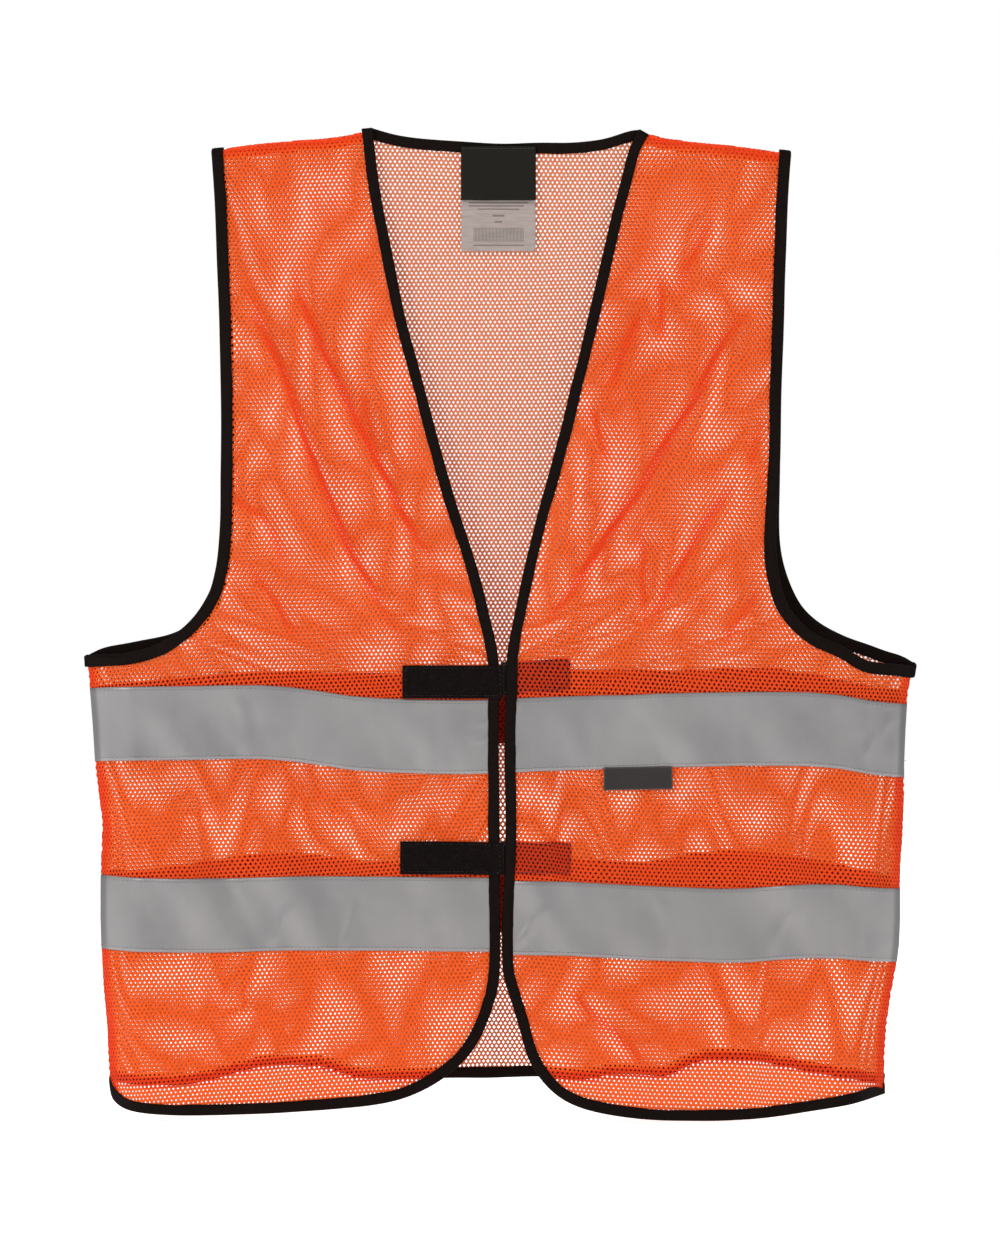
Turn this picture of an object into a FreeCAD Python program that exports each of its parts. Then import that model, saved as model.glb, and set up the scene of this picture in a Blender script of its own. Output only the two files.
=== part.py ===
import FreeCAD, Part
import Sketcher
import math
import os
from types import SimpleNamespace
from FreeCAD import Vector

# High visibility mesh vest, size XL, lying closed with its fronts edge to edge.
# Frame: +Z up towards the shoulders, +X towards the wearer's left, -Y out of the front.
# x = 0 is the centre line and z = 0 is the hem. Units are millimetres.
# Every soft layer is a sheet: the back is flat, the fronts follow one smooth
# depth law that starts at the side and shoulder seams and deepens to the hem.

doc = FreeCAD.newDocument("vest")
sheet = doc.addObject("Spreadsheet::Sheet", "dims")

# alias, value, note
DIMENSIONS = [
    # overall pattern
    ("half_chest", 282.4, "half width at the armpit corner"),
    ("half_waist", 272.8, "half width between the two tapes"),
    ("half_hem", 264.0, "half width at the hem"),
    ("neck_x", 90.0, "neck point of the shoulder seam, from centre"),
    ("neck_z", 675.6, "height of the neck point"),
    ("shoulder_x", 198.5, "outer end of the shoulder seam"),
    ("shoulder_z", 658.6, "height of the outer end of the shoulder"),
    ("back_neck_z", 666.5, "height of the back neckline at centre"),
    ("armpit_z", 314.1, "height of the armpit corner"),
    ("armhole_x", 192.0, "half width between the armholes, near their narrowest"),
    ("back_hem_z", 25.1, "height of the back hem"),
    ("front_gap", 4.0, "gap between the two front edges"),
    # sheets and sewing
    ("mesh_t", 0.8, "mesh fabric"),
    ("tape_t", 0.35, "reflective tape"),
    ("bind_t", 0.5, "one skin of the edge binding"),
    ("bind_w", 7.5, "width of the edge binding"),
    ("loop_t", 1.2, "hook or loop strip"),
    ("label_t", 0.4, "woven label"),
    ("thread_t", 0.35, "sewing thread"),
    ("thread_w", 0.5, "width of a thread run"),
    ("lay_gap", 0.3, "air between sewn layers"),
    ("edge_in", 0.9, "mesh edge inside the finished edge, where bound"),
    ("side_in", 0.6, "mesh edge inside the finished edge, at the sides"),
    # depth law of the fronts
    ("back_y", 18.33, "inner face of the back panel"),
    ("seam_gap", 2.2, "front to back distance at the seams"),
    ("depth_top", 3.0, "billow of the fronts at the shoulder"),
    ("depth_hem", 25.0, "further billow down to the hem"),
    ("crown", 7.0, "further billow towards the centre front"),
    ("crown_w", 180.0, "distance from the fold to the full crown"),
    ("side_roll", 30.0, "width over which the sides round off"),
    ("shoulder_roll", 40.0, "height over which the shoulders round off"),
    # opening fold of each front
    ("fold_top_x", 84.0, "where the opening fold leaves the neck edge"),
    ("fold_top_z", 648.0, "height of that point"),
    ("fold_x", 232.0, "where the opening fold meets the hem"),
    ("fold_z", 2.1, "height of that point"),
    ("fold_gap", 1.6, "gap that stands for the fold line"),
    # tapes
    ("tape_w", 50.0, "reflective tape width"),
    ("tape_hi", 238.6, "lower edge of the upper front tape"),
    ("tape_lo", 116.6, "lower edge of the lower front tape"),
    ("btape_hi", 253.6, "lower edge of the upper back tape"),
    ("btape_lo", 126.1, "lower edge of the lower back tape"),
    ("tape_gap", 0.6, "from the front binding to the tape"),
    ("tape_in", 0.8, "tape end inside the finished side"),
    ("stitch_in", 2.2, "stitch row from the tape edge"),
    ("row_start", 1.0, "front stitch row from the inner tape end"),
    ("back_row_in", 14.0, "back stitch row end from the side"),
    # seam allowances between front and back
    ("seam_clear", 0.5, "part of the seam gap left free in front of them"),
    ("shoulder_end", 10.0, "shoulder allowance end from the seam end, in x"),
    ("shoulder_near", 0.8, "near edge from the shoulder seam"),
    ("shoulder_far", 7.3, "far edge from the shoulder seam"),
    ("side_low", 10.5, "lower end of the side allowance above the back hem"),
    ("side_high", 11.0, "upper end of the side allowance below the armpit"),
    ("side_near", 0.9, "near edge from the side"),
    ("side_far", 5.4, "far edge from the side"),
    # closure
    ("loop_l", 65.8, "outer end of the loop strip from the front edge"),
    ("loop_w", 22.3, "hook and loop strip width"),
    ("loop_in", 0.1, "inner end of the loop strip from the front edge"),
    ("loop_hi", 287.6, "lower edge of the upper loop strip"),
    ("loop_lo", 167.4, "lower edge of the lower loop strip"),
    ("hook_l", 47.0, "hook strip length"),
    ("hook_x", -0.6, "inner end of the hook strips, from centre"),
    ("hook_hi", 289.1, "lower edge of the upper hook strip"),
    ("hook_lo", 165.1, "lower edge of the lower hook strip"),
    ("hook_tilt", 3.0, "tilt of the upper hook strip, degrees"),
    ("box_in", 1.6, "box of stitching inside its outline"),
    ("box_corner", 1.0, "upright runs start this far inside the box"),
    ("hook_box_x", 4.0, "inner end of the hook stitching outline"),
    # labels
    ("label_x", -27.5, "left edge of the neck labels, seen from the front"),
    ("label_w", 50.3, "neck label width"),
    ("label_z", 660.4, "top of the neck labels"),
    ("label_r", 0.8, "corner radius of the neck labels"),
    ("brand_h", 32.5, "height of the front neck label"),
    ("care_h", 68.0, "height of the rear neck label"),
    ("label_row_in", 2.0, "neck label stitching from the label sides"),
    ("label_row_drop", 1.6, "underside of that stitching below the label top"),
    ("tab_x", 69.5, "inner edge of the chest label"),
    ("tab_w", 46.5, "chest label width"),
    ("tab_h", 15.0, "chest label height"),
    ("tab_drop", 0.5, "chest label top below the upper tape"),
    ("tab_air", 0.35, "extra air behind the chest label"),
]
for row, (alias, value, note) in enumerate(DIMENSIONS, 1):
    sheet.set("A%d" % row, note)
    sheet.set("B%d" % row, str(value))
    sheet.setAlias("B%d" % row, alias)
doc.recompute()
dims = SimpleNamespace(**{entry[0]: float(sheet.get(entry[0])) for entry in DIMENSIONS})

# Working sizes of the cutters; they only have to reach past what they cut.
CUTTER_Y = 60.0       # half depth of every cutter
TRIM_OUT = 4.0        # how far a trim reaches outside the finished edge
TRIM_EXTEND = 6.0     # how far a trim runs past the ends of its edge
SLOT_OVER = 2.0       # how far the hollow of a binding passes its open side
SLOT_EXTEND = 4.0     # how far that hollow runs past the ends
TAPE_TRIM_OUT = 30.0  # how far the tape trim reaches outside the side
TAPE_REACH = 292.0    # uncut tapes end here, past the side seam
FOLD_RUN = 60.0       # how far a fold cutter passes the ends of the fold
FOLD_REACH = 420.0    # its width across the fold

# Lengths and offsets along Y, as spreadsheet expressions
BIND_HOLLOW = "dims.mesh_t + 2 * dims.lay_gap"
BIND_FULL = BIND_HOLLOW + " + 2 * dims.bind_t"
SEAM_FILL = "dims.seam_gap - dims.lay_gap - dims.seam_clear"

SIDES = ((-1, "right"), (1, "left"))  # the wearer's right and left

# ---------------------------------------------------------------- outlines
# (x, z) on the finished edge of the wearer's left half. Every edge is travelled
# with the fabric on its left in the XZ plane.

EDGE_X = dims.front_gap / 2.0
ARM_X = dims.armhole_x
NECK = (dims.neck_x - 1.0, dims.neck_z + 0.3)
SHOULDER = (dims.shoulder_x, dims.shoulder_z)
ARMPIT = (dims.half_chest, dims.armpit_z)
HEM_CORNER = (dims.half_hem + 0.6, 12.3)

# From the neck down the front edge, then out along the hem
FRONT_EDGE = [
    NECK, (87.4, 667.9), (82.6, 639.3), (73.8, 598.5), (64.9, 557.7),
    (54.7, 516.9), (44.5, 476.1), (33.3, 435.3), (21.9, 394.5), (11.6, 353.7),
    (6.4, 333.3), (3.4, 316.1), (EDGE_X, 298.1), (EDGE_X, 248.1), (EDGE_X, 198.1),
    (EDGE_X, 148.1), (EDGE_X + 0.1, 108.1), (EDGE_X + 2.6, 86.1), (EDGE_X + 5.8, 74.1),
    (EDGE_X + 10.0, 62.1), (EDGE_X + 15.0, 50.6), (EDGE_X + 22.0, 39.1),
    (EDGE_X + 33.0, 26.6), (EDGE_X + 50.0, 14.9), (EDGE_X + 78.0, 6.7),
    (110.0, 2.9), (145.0, 0.5), (178.0, 0.1), (208.0, 1.7), (236.0, 4.9),
    (254.0, 8.5), HEM_CORNER,
]
# From the hem up to the armpit
SIDE = [
    HEM_CORNER, (dims.half_hem + 1.5, 43.1), (267.4, 73.1), (270.4, 103.1),
    (dims.half_waist - 0.2, 133.1), (dims.half_waist, 163.1), (dims.half_waist + 0.2, 198.1),
    (274.6, 228.1), (277.4, 258.1), (280.0, 286.1), ARMPIT,
]
# From the armpit up to the shoulder; front and back share the upper part
ARM_UPPER = [(ARM_X + 0.6, 496.1), (ARM_X + 1.8, 558.1), (ARM_X + 3.6, 608.1), SHOULDER]
ARM_FRONT = [
    ARMPIT, (262.0, 314.7), (246.0, 317.7), (233.0, 322.1), (222.0, 328.1),
    (213.0, 335.1), (206.5, 343.1), (201.0, 352.1), (197.0, 362.1), (194.2, 374.1),
    (192.6, 388.1), (ARM_X, 410.1), (ARM_X, 435.1),
] + ARM_UPPER
ARM_BACK = [
    ARMPIT, (272.0, 318.1), (259.0, 322.9), (245.0, 327.9), (231.0, 333.3),
    (220.0, 338.5), (211.0, 344.5), (202.8, 353.5), (197.4, 364.1), (194.0, 375.1),
    (192.2, 390.1), (ARM_X - 0.3, 410.1), (ARM_X - 0.2, 435.1),
] + ARM_UPPER
NECK_HALF = [
    NECK, (82.0, 673.7), (65.0, 669.5), (45.0, 667.5), (22.0, dims.back_neck_z + 0.2),
]


def mirror(chain, sign=-1):
    """The chain on the side of the given sign: -1 the wearer's right, 1 the left."""
    return [(sign * x, z) for x, z in chain]


def side_x(z):
    """Half width of the side outline at height z."""
    if z <= SIDE[0][1]:
        return SIDE[0][0]
    for (x0, z0), (x1, z1) in zip(SIDE, SIDE[1:]):
        if z <= z1:
            return x0 + (x1 - x0) * (z - z0) / (z1 - z0)
    return SIDE[-1][0]


HEM_Z = dims.back_hem_z
HEM_X = side_x(HEM_Z)
# Whole back neckline, from the wearer's left to right, and back hem, right to left
NECK_BACK = NECK_HALF + [(0.0, dims.back_neck_z)] + mirror(NECK_HALF)[::-1]
HEM_BACK = [(x, HEM_Z) for x in (-HEM_X, -130.0, 0.0, 130.0, HEM_X)]
SIDE_BACK = [(HEM_X, HEM_Z)] + [point for point in SIDE if point[1] > HEM_Z + 6]

# ---------------------------------------------------------------- plane geometry


def vectors(points):
    return [Vector(x, 0, z) for x, z in points]


def spline(points):
    curve = Part.BSplineCurve()
    curve.interpolate(vectors(points))
    return curve


def offset_points(points, inset, extend):
    """Evenly spaced points of the spline, moved to the left of travel by inset.
    The end points are pushed out along the curve by extend."""
    curve = spline(points)
    last = max(12, 3 * len(points)) - 1
    start, end = curve.FirstParameter, curve.LastParameter
    length = curve.length()
    moved = []
    for i in range(last + 1):
        push = 0.0
        if i == 0:
            at, push = start, -extend
        elif i == last:
            at, push = end, extend
        else:
            at = curve.parameterAtDistance(length * i / float(last), start)
        tangent = curve.tangent(at)[0]
        point = curve.value(at) + tangent * push
        moved.append((point.x - tangent.z * inset, point.z + tangent.x * inset))
    return moved


def edge_through(points):
    if len(points) == 2:
        return Part.makeLine(*vectors(points))
    return spline(points).toShape()


def face_of(*chains):
    """A face bounded by chains of points; gaps between chains are closed with lines."""
    edges = []
    for i, chain in enumerate(chains):
        end, start = chain[-1], chains[(i + 1) % len(chains)][0]
        edges.append(edge_through(chain))
        if math.hypot(end[0] - start[0], end[1] - start[1]) > 1e-6:
            edges.append(Part.makeLine(*vectors([end, start])))
    return Part.Face(Part.Wire(Part.__sortEdges__(edges)))


def polygon(points):
    return Part.Face(Part.makePolygon(vectors(points + points[:1])))


def rect(x0, z0, x1, z1, tilt=0.0, pivot=None):
    """A rectangle, turned about the pivot by tilt degrees."""
    face = polygon([(x0, z0), (x1, z0), (x1, z1), (x0, z1)])
    if tilt:
        face.rotate(Vector(pivot[0], 0, pivot[1]), Vector(0, -1, 0), tilt)
    return face


def band(chain, near, far, extend=0.0, sign=1):
    """The strip between two insets of an edge, on the side of the given sign."""
    own = mirror(chain, sign)
    return face_of(offset_points(own, near * sign, extend),
                   offset_points(own, far * sign, extend)[::-1])


def trim_band(chain, inset, sign=1):
    """What is cut off a panel to leave its edge inset from the finished edge."""
    return band(chain, -TRIM_OUT, inset, TRIM_EXTEND, sign)


def binding_faces(chain, sign=1):
    """Outline of a binding, and of the hollow inside its fold."""
    ring = band(chain, 0.0, dims.bind_w, 0.0, sign)
    slot = band(chain, dims.bind_t, dims.bind_w + SLOT_OVER, SLOT_EXTEND, sign)
    return ring, slot


# ---------------------------------------------------------------- depth law of the fronts


def unit(dx, dz):
    length = math.hypot(dx, dz)
    return dx / length, dz / length


# Down the opening fold, for x > 0, and the outward normal of the shoulder seam
FOLD_DX, FOLD_DZ = unit(dims.fold_x - dims.fold_top_x, dims.fold_z - dims.fold_top_z)
SEAM_NX, SEAM_NZ = unit(dims.neck_z - dims.shoulder_z, dims.shoulder_x - dims.neck_x)


def roll(distance, radius):
    return math.sin(math.pi / 2 * max(-0.5, min(1.0, distance / radius)))


def smooth(ratio):
    ratio = max(0.0, min(1.0, ratio))
    return ratio * ratio * (3 - 2 * ratio)


def depth(x, z):
    """Billow of a front; x is from the centre, positive to the front's own side."""
    if z <= dims.armpit_z:
        from_side = side_x(z) - x
    else:
        from_side = dims.half_chest - x + (z - dims.armpit_z)
    from_shoulder = -((x - dims.neck_x) * SEAM_NX + (z - dims.neck_z) * SEAM_NZ)
    # positive from the opening fold towards the centre front
    from_fold = (x - dims.fold_top_x) * FOLD_DZ - (z - dims.fold_top_z) * FOLD_DX
    drop = max(0.0, min(1.05, (dims.neck_z - z) / dims.neck_z))
    billow = (dims.depth_top + dims.depth_hem * drop
              + dims.crown * smooth(from_fold / dims.crown_w))
    return billow * roll(from_side, dims.side_roll) * roll(from_shoulder, dims.shoulder_roll)


def front_surface(sign):
    """The outer face of a front, larger than its outline."""
    seam_y = dims.back_y - dims.seam_gap - dims.mesh_t
    xs = [-8.0 + i * 12.2 for i in range(25)]
    zs = [-12.0 + j * 23.6 for j in range(31)]
    surface = Part.BSplineSurface()
    surface.interpolate([[Vector(sign * x, seam_y - depth(x, z), z) for z in zs] for x in xs])
    return surface.toShape()


def fold_side(sign, towards):
    """A large area on one side of the opening fold.
    towards is 1 for the centre front, -1 for the side seam."""
    near = dims.fold_gap / 2.0
    far = near + FOLD_REACH

    def corner(x, z, run, across):
        return (sign * (x + FOLD_DX * run + towards * FOLD_DZ * across),
                z + FOLD_DZ * run - towards * FOLD_DX * across)

    top = (dims.fold_top_x, dims.fold_top_z, -FOLD_RUN)
    bottom = (dims.fold_x, dims.fold_z, FOLD_RUN)
    return polygon([corner(*top, near), corner(*bottom, near),
                    corner(*bottom, far), corner(*top, far)])


# ---------------------------------------------------------------- document helpers

NODES = []


def node(obj, label):
    """Marks an object as a piece to export."""
    obj.Label = label
    NODES.append(obj)
    return obj


def feature(name, shape):
    obj = doc.addObject("Part::Feature", name)
    obj.Shape = shape
    return obj


def extrusion(name, base):
    obj = doc.addObject("Part::Extrusion", name)
    obj.Base = base
    obj.DirMode = "Custom"
    obj.Dir = Vector(0, 1, 0)
    obj.Solid = True
    obj.LengthRev = 0
    return obj


def slab(name, surface, length, offset=""):
    """The sheet that a front surface sweeps along +Y; length and offset are expressions."""
    obj = extrusion(name, surface)
    obj.setExpression("LengthFwd", length)
    if offset:
        obj.setExpression(".Placement.Base.y", offset)
    return obj


def flat_pad(name, face, y, length):
    """A flat sheet from y towards +Y; length is an expression."""
    obj = extrusion(name, feature(name + "_outline", face.translated(Vector(0, y, 0))))
    obj.setExpression("LengthFwd", length)
    return obj


def prism(name, face):
    """A cutter: an outline swept through the whole depth."""
    outline = feature(name + "_outline", face.translated(Vector(0, -CUTTER_Y, 0)))
    obj = extrusion(name, outline)
    obj.LengthFwd = 2 * CUTTER_Y
    return obj


def common(name, base, tool):
    obj = doc.addObject("Part::Common", name)
    obj.Base, obj.Tool = base, tool
    return obj


def cut(name, base, tool):
    obj = doc.addObject("Part::Cut", name)
    obj.Base, obj.Tool = base, tool
    return obj


def collect(label, objects):
    """One piece of several separate solids."""
    doc.recompute()
    solids = [solid.copy() for obj in objects for solid in obj.Shape.Solids]
    node(feature(label + "_group", Part.makeCompound(solids)), label)


# ---------------------------------------------------------------- the two fronts


def new_front(sign, name):
    """A front's surface and the cutters for its two parts: the flap from the centre
    front to the opening fold, and the side from the fold to the side seam."""
    return SimpleNamespace(
        sign=sign, name=name,
        surface=feature("front_surface_" + name, front_surface(sign)),
        flap_area=prism("flap_area_" + name, fold_side(sign, 1)),
        side_area=prism("side_area_" + name, fold_side(sign, -1)))


def split(front, tag, whole):
    """The flap and side parts of a layer."""
    return (common("%s_flap_%s" % (tag, front.name), whole, front.flap_area),
            common("%s_side_%s" % (tag, front.name), whole, front.side_area))


def add_front_panel(front):
    sign, name = front.sign, front.name
    chains = (FRONT_EDGE, SIDE, ARM_FRONT, [SHOULDER, NECK])
    outline = face_of(*[mirror(chain, sign) for chain in chains])
    panel = common("front_blank_" + name, slab("front_sheet_" + name, front.surface, "dims.mesh_t"),
                   prism("front_area_" + name, outline))
    for tag, chain, inset in (("edge", FRONT_EDGE, dims.edge_in),
                              ("arm", ARM_FRONT, dims.edge_in),
                              ("side", SIDE, dims.side_in)):
        trim = prism("front_trim_%s_%s" % (tag, name), trim_band(chain, inset, sign))
        panel = cut("front_less_%s_%s" % (tag, name), panel, trim)
    flap, front.side_panel = split(front, "mesh", panel)
    node(flap, "front_panel_" + name)
    node(front.side_panel, "side_panel_" + name)


def row_heights(tape_z):
    """Lower edges of a tape's two stitch rows."""
    return (tape_z + dims.stitch_in,
            tape_z + dims.tape_w - dims.stitch_in - dims.thread_w)


def add_front_tapes(front):
    """Tapes on the outside, from the front binding to the side seam, and their stitching."""
    sign, name, surface = front.sign, front.name, front.surface
    tapes = slab("tape_sheet_" + name, surface, "dims.tape_t", "-(dims.lay_gap + dims.tape_t)")
    threads = slab("thread_sheet_" + name, surface, "dims.thread_t",
                   "-(2 * dims.lay_gap + dims.tape_t + dims.thread_t)")
    trim = prism("tape_trim_" + name,
                 band(SIDE, -TAPE_TRIM_OUT, dims.tape_in, TRIM_EXTEND, sign))
    start_x = EDGE_X + dims.bind_w + dims.tape_gap

    def strip(tag, layer, x, z, width):
        area = prism("%s_area_%s" % (tag, name),
                     rect(sign * x, z, sign * TAPE_REACH, z + width))
        blank = common("%s_blank_%s" % (tag, name), layer, area)
        return split(front, tag, cut("%s_whole_%s" % (tag, name), blank, trim))

    rows = []
    for level, tape_z in (("upper", dims.tape_hi), ("lower", dims.tape_lo)):
        flap, side = strip("strip_" + level, tapes, start_x, tape_z, dims.tape_w)
        node(flap, "%s_tape_%s" % (level, name))
        node(side, "%s_tape_side_%s" % (level, name))
        for k, z in enumerate(row_heights(tape_z)):
            rows.append(strip("row_%s_%d" % (level, k), threads,
                              start_x + dims.row_start, z, dims.thread_w))
    collect("tape_stitching_" + name, [flap for flap, side in rows])
    collect("tape_stitching_side_" + name, [side for flap, side in rows])


def add_front_bindings(front):
    """Folded strips that wrap the cut edges of the mesh. The armhole run is kept
    to be joined with its rear run."""
    thick = slab("bind_thick_" + front.name, front.surface, BIND_FULL,
                 "-(dims.lay_gap + dims.bind_t)")
    groove = slab("bind_groove_" + front.name, front.surface, BIND_HOLLOW, "-dims.lay_gap")

    def folded(tag, chain):
        end = "_%s_%s" % (tag, front.name)
        ring, slot = binding_faces(chain, front.sign)
        body = common("bind_body" + end, thick, prism("bind_ring" + end, ring))
        hollow = common("bind_hollow" + end, groove, prism("bind_slot" + end, slot))
        return cut("bind" + end, body, hollow)

    flap, side = split(front, "bind", folded("front", FRONT_EDGE))
    node(flap, "front_binding_" + front.name)
    node(side, "front_binding_ends_" + front.name)
    front.arm_binding = folded("arm", ARM_FRONT)


# ---------------------------------------------------------------- the back


def add_back_panel():
    outline = face_of(HEM_BACK, SIDE_BACK, ARM_BACK, [SHOULDER, NECK], NECK_BACK,
                      mirror([NECK, SHOULDER]), mirror(ARM_BACK)[::-1], mirror(SIDE_BACK)[::-1])
    back = flat_pad("back_blank", outline, dims.back_y, "dims.mesh_t")
    for tag, chain, inset, sign in (
            ("neck", NECK_BACK, dims.edge_in, 1),
            ("hem", HEM_BACK, dims.edge_in, 1),
            ("arm_left", ARM_BACK, dims.edge_in, 1),
            ("arm_right", ARM_BACK, dims.edge_in, -1),
            ("side_left", SIDE_BACK, dims.side_in, 1),
            ("side_right", SIDE_BACK, dims.side_in, -1)):
        trim = prism("back_trim_" + tag, trim_band(chain, inset, sign))
        back = cut("back_less_" + tag, back, trim)
    node(back, "back_panel")


def flat_binding(tag, chain, sign=1):
    ring, slot = binding_faces(chain, sign)
    hollow_y = dims.back_y - dims.lay_gap
    body = flat_pad("back_bind_body_" + tag, ring, hollow_y - dims.bind_t, BIND_FULL)
    hollow = flat_pad("back_bind_hollow_" + tag, slot, hollow_y, BIND_HOLLOW)
    return cut("back_bind_" + tag, body, hollow)


# Bridges that join the front and rear runs of an armhole binding at each seam:
# the seam corner, then the x and z ranges from it and the y range from the back panel
ARM_BRIDGES = (
    (ARMPIT, (-2.2, -1.4), (-3.6, -0.6), (-3.03, -0.43)),
    (SHOULDER, (-7.1, -0.9), (-3.6, -0.7), (-2.38, -0.38)),
)


def bridge(sign, corner, x_range, z_range, y_range):
    x0, x1 = sorted(sign * (corner[0] + x) for x in x_range)
    y0, y1 = (dims.back_y + y for y in y_range)
    z0, z1 = (corner[1] + z for z in z_range)
    return Part.makeBox(x1 - x0, y1 - y0, z1 - z0, Vector(x0, y0, z0))


def add_armhole_binding(front):
    rear = flat_binding("arm_" + front.name, ARM_BACK, front.sign)
    doc.recompute()
    run = front.arm_binding.Shape
    loop = run.fuse([rear.Shape] + [bridge(front.sign, *row) for row in ARM_BRIDGES])
    # the side panel lies inside the fold, so whatever meets it is taken off the strip
    cloth = front.side_panel.Shape
    if loop.common(cloth).Volume > 0.001:
        loop = max(loop.cut(cloth).Solids, key=lambda solid: solid.Volume)
    # if the runs did not join into one solid, they stay separate without bridges
    if len(loop.Solids) != 1:
        loop = Part.makeCompound(run.Solids + rear.Shape.Solids)
    node(feature("arm_loop_" + front.name, loop), "armhole_binding_" + front.name)


def add_back_tapes():
    """Tapes on the outside of the back, and stitch rows on its inside."""
    rows = []
    for level, low in (("upper", dims.btape_hi), ("lower", dims.btape_lo)):
        high = low + dims.tape_w
        heights = [low + (high - low) * i / 4.0 for i in range(5)]
        end = [(side_x(z) - dims.tape_in, z) for z in heights]
        face = face_of([(-end[0][0], low), (end[0][0], low)], end,
                       [(end[-1][0], high), (-end[-1][0], high)], mirror(end)[::-1])
        node(flat_pad("back_tape_" + level, face, dims.back_y + dims.mesh_t + dims.lay_gap,
                      "dims.tape_t"), level + "_tape_back")
        for k, z in enumerate(row_heights(low)):
            x = side_x(z) - dims.back_row_in
            rows.append(flat_pad("back_row_%s_%d" % (level, k),
                                 rect(-x, z, x, z + dims.thread_w),
                                 dims.back_y - dims.lay_gap - dims.thread_t, "dims.thread_t"))
    collect("tape_stitching_back", rows)


def add_seam_allowances(sign, name):
    """Allowances turned in between front and back."""
    fill_y = dims.back_y - dims.lay_gap - (dims.seam_gap - dims.lay_gap - dims.seam_clear)
    rise = dims.shoulder_end * SEAM_NX / SEAM_NZ
    outer = (dims.shoulder_x - dims.shoulder_end, dims.shoulder_z + rise)
    inner = (dims.neck_x + dims.shoulder_end, dims.neck_z - rise)
    near, far = dims.shoulder_near, dims.shoulder_far
    quad = [(x - SEAM_NX * inset, z - SEAM_NZ * inset)
            for (x, z), inset in ((outer, near), (inner, near), (inner, far), (outer, far))]
    node(flat_pad("shoulder_allow_" + name, polygon(mirror(quad, sign)), fill_y, SEAM_FILL),
         "shoulder_seam_" + name)

    low, high = HEM_Z + dims.side_low, dims.armpit_z - dims.side_high
    middle = [point for point in SIDE_BACK if HEM_Z + 12 < point[1] < dims.armpit_z - 14]
    chain = [(side_x(low), low)] + middle + [(side_x(high), high)]
    face = band(chain, dims.side_near, dims.side_far, sign=sign)
    node(flat_pad("side_allow_" + name, face, fill_y, SEAM_FILL), "side_seam_" + name)


# ---------------------------------------------------------------- closure


def box_rows(tag, surface, x0, z0, x1, offset, tilt=0.0, pivot=None):
    """A box of stitching on a strip: four thread runs inside its edges."""
    layer = slab("box_sheet_" + tag, surface, "dims.thread_t", offset)
    width, corner = dims.thread_w, dims.box_corner
    left, low = x0 + dims.box_in, z0 + dims.box_in
    right, high = x1 - dims.box_in, z0 + dims.loop_w - dims.box_in
    runs = (
        (left, low, right, low + width),
        (left, high - width, right, high),
        (left, low + corner, left + width, high - corner),
        (right - width, low + corner, right, high - corner),
    )
    return [common("box_%s_%d" % (tag, k), layer,
                   prism("box_area_%s_%d" % (tag, k), rect(*run, tilt, pivot)))
            for k, run in enumerate(runs)]


def add_loop_strips(surface):
    """Loop strips on the outside of the right front, over the binding."""
    layer = slab("loop_sheet", surface, "dims.loop_t",
                 "-(2 * dims.lay_gap + dims.bind_t + dims.loop_t)")
    x0, x1 = -(EDGE_X + dims.loop_l), -(EDGE_X + dims.loop_in)
    rows = []
    for level, z in (("upper", dims.loop_hi), ("lower", dims.loop_lo)):
        area = prism("loop_area_" + level, rect(x0, z, x1, z + dims.loop_w))
        node(common("loop_" + level, layer, area), level + "_loop_strip")
        rows += box_rows("loop_" + level, surface, x0, z, x1,
                         "-(3 * dims.lay_gap + dims.bind_t + dims.loop_t + dims.thread_t)")
    collect("loop_strip_stitching", rows)


def add_hook_strips(surface):
    """Hook strips on the inside of the left front, the upper one tilted."""
    layer = slab("hook_sheet", surface, "dims.loop_t",
                 "dims.mesh_t + 2 * dims.lay_gap + dims.bind_t")
    x0, x1 = dims.hook_x, dims.hook_x + dims.hook_l
    rows = []
    for level, z, tilt in (("upper", dims.hook_hi, dims.hook_tilt), ("lower", dims.hook_lo, 0.0)):
        area = prism("hook_area_" + level, rect(x0, z, x1, z + dims.loop_w, tilt, (x0, z)))
        node(common("hook_" + level, layer, area), level + "_hook_strip")
        rows += box_rows("hook_" + level, surface, dims.hook_box_x, z, x1,
                         "dims.mesh_t + 3 * dims.lay_gap + dims.bind_t + dims.loop_t",
                         tilt, (x0, z))
    collect("hook_strip_stitching", rows)


# ---------------------------------------------------------------- labels


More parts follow.
